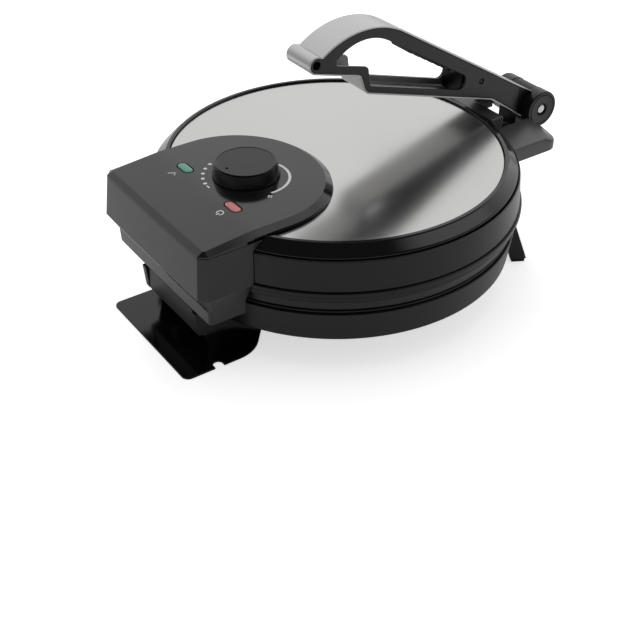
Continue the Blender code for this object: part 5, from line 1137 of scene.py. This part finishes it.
def flatPlate(name, outlines, halfThick, edge, swap, place):
    # outlines filled as one flat plate with rounded edges; the first is the outside and the rest are holes
    curve = bpy.data.curves.new(name + "Curve", "CURVE")
    curve.dimensions, curve.fill_mode = "2D", "BOTH"
    curve.extrude, curve.bevel_depth, curve.bevel_resolution, curve.offset = halfThick - edge, edge, 2, -edge
    for outline in outlines:
        spline = curve.splines.new("POLY")
        spline.points.add(len(outline) - 1)
        for point, (a, b) in zip(spline.points, outline):
            point.co = (a, b, 0, 1)
        spline.use_cyclic_u = True
    holder = bpy.data.objects.new(name + "Holder", curve)
    bpy.context.scene.collection.objects.link(holder)
    mesh = bpy.data.meshes.new_from_object(holder.evaluated_get(bpy.context.evaluated_depsgraph_get()))
    bpy.data.objects.remove(holder)
    bm = bmesh.new()
    bm.from_mesh(mesh)
    bpy.data.meshes.remove(mesh)
    return meshObject(name, alongX(bm) if swap else bm, place)


def circleOutline(radius, centre, steps=28):
    return [polar(radius, math.tau * step / steps, centre) for step in range(steps)]


def makeStrap(v, place):
    outer = toBarrel(v, strapOutline(v, 0.0, False))
    inner = toBarrel(v, strapOutline(v, -v["strap"], False))
    strap = meshObject("handleStrap", acrossX(outer + inner[::-1], -v["half"], v["half"]), place)
    soften(strap, v["edge"], angle=60)
    finishPiece(strap, "press_handle", "strapSteel", ["handle_strap"], angle=40)
    middle = Vector((0, bodyY + (pivotY + v["middle"][0]) * mm, (pivotZ + v["middle"][1]) * mm))
    # painted shade: the strap's inward faces that look down are painted dark plastic, standing in for the
    # shade under its arch
    paintFaces(strap, "darkPlastic", lambda face: (middle - face.center).dot(face.normal) > 0
               and face.normal.z < v["paintedShadeSlope"] and abs(face.normal.x) < v["paintedShadeTilt"])


def makeCheeks(v):
    middle = v["half"] - v["inset"] - v["cheek"] / 2
    outlines = [strapOutline(v, -v["strap"] - v["gap"]), softPath(v["hole"]),
                circleOutline(v["bore"], v["nose"]),
                circleOutline(v["screwHole"], v["screw"], v["screwHoleSides"])]
    for side, name in ((-1, "left"), (1, "right")):
        cheek = flatPlate(f"handleCheek{name.title()}", outlines, v["cheek"] / 2, v["edge"], True,
                          (side * middle, pivotY, pivotZ))
        finishPiece(cheek, "press_handle", "cheekPlastic", [f"handle_cheek_{name}"])
        paintFaces(cheek, "innerSteel", lambda face: face.normal.x * side < -v["liningFlat"]
                   or (side > 0 and face.center.x < middle * mm))  # a steel sheet lines the cheeks


def makeGrip(v, place, inside):
    run = (Vector(v["arch"]) - Vector(v["frontTop"])).normalized()
    down = Vector((run.y, -run.x))
    depth = v["gripDepth"]
    top = Vector(v["frontTop"]) + down * (v["strap"] + v["gap"])
    start, end = (top + run * (y - v["frontTop"][0]) / run.x for y in (v["gripStart"], v["gripEnd"]))
    toe = end + down * (depth - v["gripToeRise"]) - run * v["gripToe"]
    tail = start + down * (depth - v["gripTailRise"])
    body = softPath([(*start, 0), (*(end + run * v["gripLip"]), v["gripRadius"]),
                     (*toe, v["gripToeRadius"]), (*tail, v["gripRadius"])])
    grip = meshObject("fingerGrip", acrossX(body, -inside, inside), place)
    soften(grip, v["gripEdge"], segments=2, angle=40)
    finishPiece(grip, "press_handle", "darkPlastic", ["finger_grip"])
    ends = []
    for point in (start + run * v["ribStart"], end - run * v["ribEnd"]):
        spot = point + down * v["ribDepth"]
        ends.append(Vector((0, (spot.x + pivotY) * mm + bodyY, (spot.y + pivotZ) * mm)))
    ribs = runTree("gripRibs", ribTree("gripRibs", materials["darkPlastic"]), {
        "Count": v["ribCount"], "Start": ends[0], "End": ends[1], "Rib Radius": v["ribRadius"] * mm,
        "Rib Length": 2 * (inside - v["ribInset"]) * mm})
    finishPiece(ribs, "press_handle", None, ())


def makeHandle(v):
    makeStrap(v, (0, pivotY, pivotZ))
    makeCheeks(v)
    inside = v["half"] - v["inset"] - v["cheek"] - v["gap"]
    tube = spun("noseTube", rodProfile(v["bore"], v["tubeRadius"], inside, 0), v["tubeSides"],
                (0, pivotY + v["nose"][0], pivotZ + v["nose"][1]), closed=True)
    finishPiece(tube, "press_handle", "darkPlastic", ["nose_spacer_tube"])
    makeGrip(v, (0, pivotY, pivotZ), inside)
    reach = v["half"] - v["inset"] - v["screwInset"]
    tie = spun("tieScrew", rodProfile(v["screwCore"], v["screwRadius"], reach, v["screwEdge"]),
               v["screwSides"], (0, pivotY + v["screw"][0], pivotZ + v["screw"][1]), arcStep=fineStep)
    finishPiece(tie, "press_handle", "darkPlastic", ["handle_tie_screw"])


makeHandle(handleValues)
print("press handle ready")


# stand, hinge tower and feet
standValues = {
    "corners": [(60.0, 179.0, 6.0), (60.0, 117.0, 30.0), (34.0, 95.0, 16.0), (34.0, 66.0, 6.0)],
    "sheet": 1.5, "edge": 0.3, "notchX": -57.0, "notchY": 149.0, "notchRadius": 4.0, "cutLow": -2,
    "cutHigh": 4, "cutOver": 3, "flangeX": 39.0,
    "flange": [(104.0, 0.6, 0), (104.0, 19.7, 2.0), (150.5, 19.7, 2.0), (145.0, 0.6, 0)],
}


def makeStand(v):
    half = v["sheet"] / 2
    corners = v["corners"] + [(-x, y, radius) for x, y, radius in reversed(v["corners"])]
    plate = flatPlate("standPlate", [softPath(corners)], half, v["edge"], False, (0, 0, half))
    for x in (-v["flangeX"], v["flangeX"]):
        flange = meshObject("flange", acrossX(softPath(v["flange"]), x - half, x + half))
        combine(plate, soften(flange, v["edge"], segments=2, angle=40), "UNION")
    x, y, radius = v["notchX"], v["notchY"], v["notchRadius"]
    drill(plate, radius, v["cutLow"], v["cutHigh"], (x, y, 0))
    outside = -v["corners"][0][0] - v["cutOver"]
    carve(plate, block((outside, y - radius, v["cutLow"]), (x, y + radius, v["cutHigh"])))
    finishPiece(plate, "base", "standPaint", ["stand_plate"])


towerValues = {
    "half": 42.0, "cheek": 6.0, "bottom": 20.0, "rear": 158.0, "flangeRear": 150.5, "slope": 1.8,
    "shelf": 42.0, "front": 141.9, "frontTop": 59.2, "neck": 144.3, "footReach": 118.0, "footTop": 28.5,
    "edge": 0.7, "hinge": (152.5, 57.0), "knuckle": (6.0, math.radians(-140), math.radians(288), 36),
    "bore": 2.9, "boreReach": 60, "boreSides": 48, "webFront": 153.1, "webRear": 155.9, "webLow": 22.1,
    "webTop": 41.7, "webSink": 1, "pin": {"core": 0.4, "radius": 2.5, "half": 44.0, "edge": 0.5},
    "pinSides": 40,
}


def makeTower(v):
    bottom, shelf, slope, rear, neck = (v[key] for key in ("bottom", "shelf", "slope", "rear", "neck"))
    outline = [(v["footReach"], bottom), (v["flangeRear"], bottom), (rear - slope, bottom + slope),
               (rear, shelf), (neck, shelf), (neck, v["hinge"][1] - v["knuckle"][0]),
               *arcPoints(*v["knuckle"], v["hinge"]), (v["front"], v["frontTop"]),
               (v["front"], v["footTop"]), (v["footReach"], v["footTop"])]
    inner = v["half"] - v["cheek"]
    tower = meshObject("hingeTower", acrossX(outline, -v["half"], -inner))
    other = meshObject("otherCheek", acrossX(outline, inner, v["half"]))
    combine(soften(tower, v["edge"], angle=35), soften(other, v["edge"], angle=35), "UNION")
    sunk = inner + v["webSink"]
    web = block((-sunk, v["webFront"], v["webLow"]), (sunk, v["webRear"], v["webTop"]))
    combine(tower, meshObject("towerWeb", web), "UNION")
    hinge = (0, *v["hinge"])
    drill(tower, v["bore"], -v["boreReach"], v["boreReach"], hinge, v["boreSides"], sideways=True)
    finishPiece(tower, "base", "darkPlastic", ["hinge_tower"])
    pin = spun("lidHingePin", rodProfile(**v["pin"]), v["pinSides"], hinge, arcStep=fineStep)
    finishPiece(pin, "base", "plainSteel", ["lid_hinge_pin"], angle=40)


footValues = {
    "turn": 29.0, "width": 18.0, "tipWidth": 13.0, "tipBelow": 16, "edge": 1.0,
    "leg": [(-144.88, 49.0), (-142.5, 32.0), (-150.0, 3.3), (-163.8, 3.3), (-147.08, 49.0)],
    "padOuter": 162.6, "padInner": 151.2, "padHalf": 5.3, "pad": 3.0, "padEdge": 0.5,
}


def makeFeet(v):
    for sign, name in ((-1, "left"), (1, "right")):
        leg = acrossX(v["leg"], -v["width"] / 2, v["width"] / 2)
        for vert in leg.verts:
            if vert.co.z < v["tipBelow"]:
                vert.co.x *= v["tipWidth"] / v["width"]
        leg = meshObject(f"frontFoot{name.title()}", turnedAbout(leg, sign * v["turn"]))
        soften(leg, v["edge"])
        finishPiece(leg, "base", "darkPlastic", [f"front_foot_{name}"])
        pad = block((-v["padHalf"], -v["padOuter"], 0), (v["padHalf"], -v["padInner"], v["pad"]))
        pad = meshObject(f"footPad{name.title()}", turnedAbout(pad, sign * v["turn"]))
        soften(pad, v["padEdge"], segments=2)
        finishPiece(pad, "base", "softRubber", [f"foot_pad_{name}"])


makeStand(standValues)
makeTower(towerValues)
makeFeet(footValues)
print("stand ready")


# CAD pieces that stay as they are
keptFinishes = {
    "plainSteel": ("lower_heat_shield", "upper_heat_shield", "thermostat", "thermostat_shaft",
                   "lid_hinge_bracket"),
    "paleCeramic": ("terminal_block", "ready_lamp", "power_lamp"), "softRubber": ("cord_inlet_gland",),
    "darkPlastic": ("handle_core",),
}
for finish, nodeNames in keptFinishes.items():
    for nodeName in nodeNames:
        nodes[nodeName].data.materials.clear()
        nodes[nodeName].data.materials.append(materials[finish])
print("kept pieces ready")
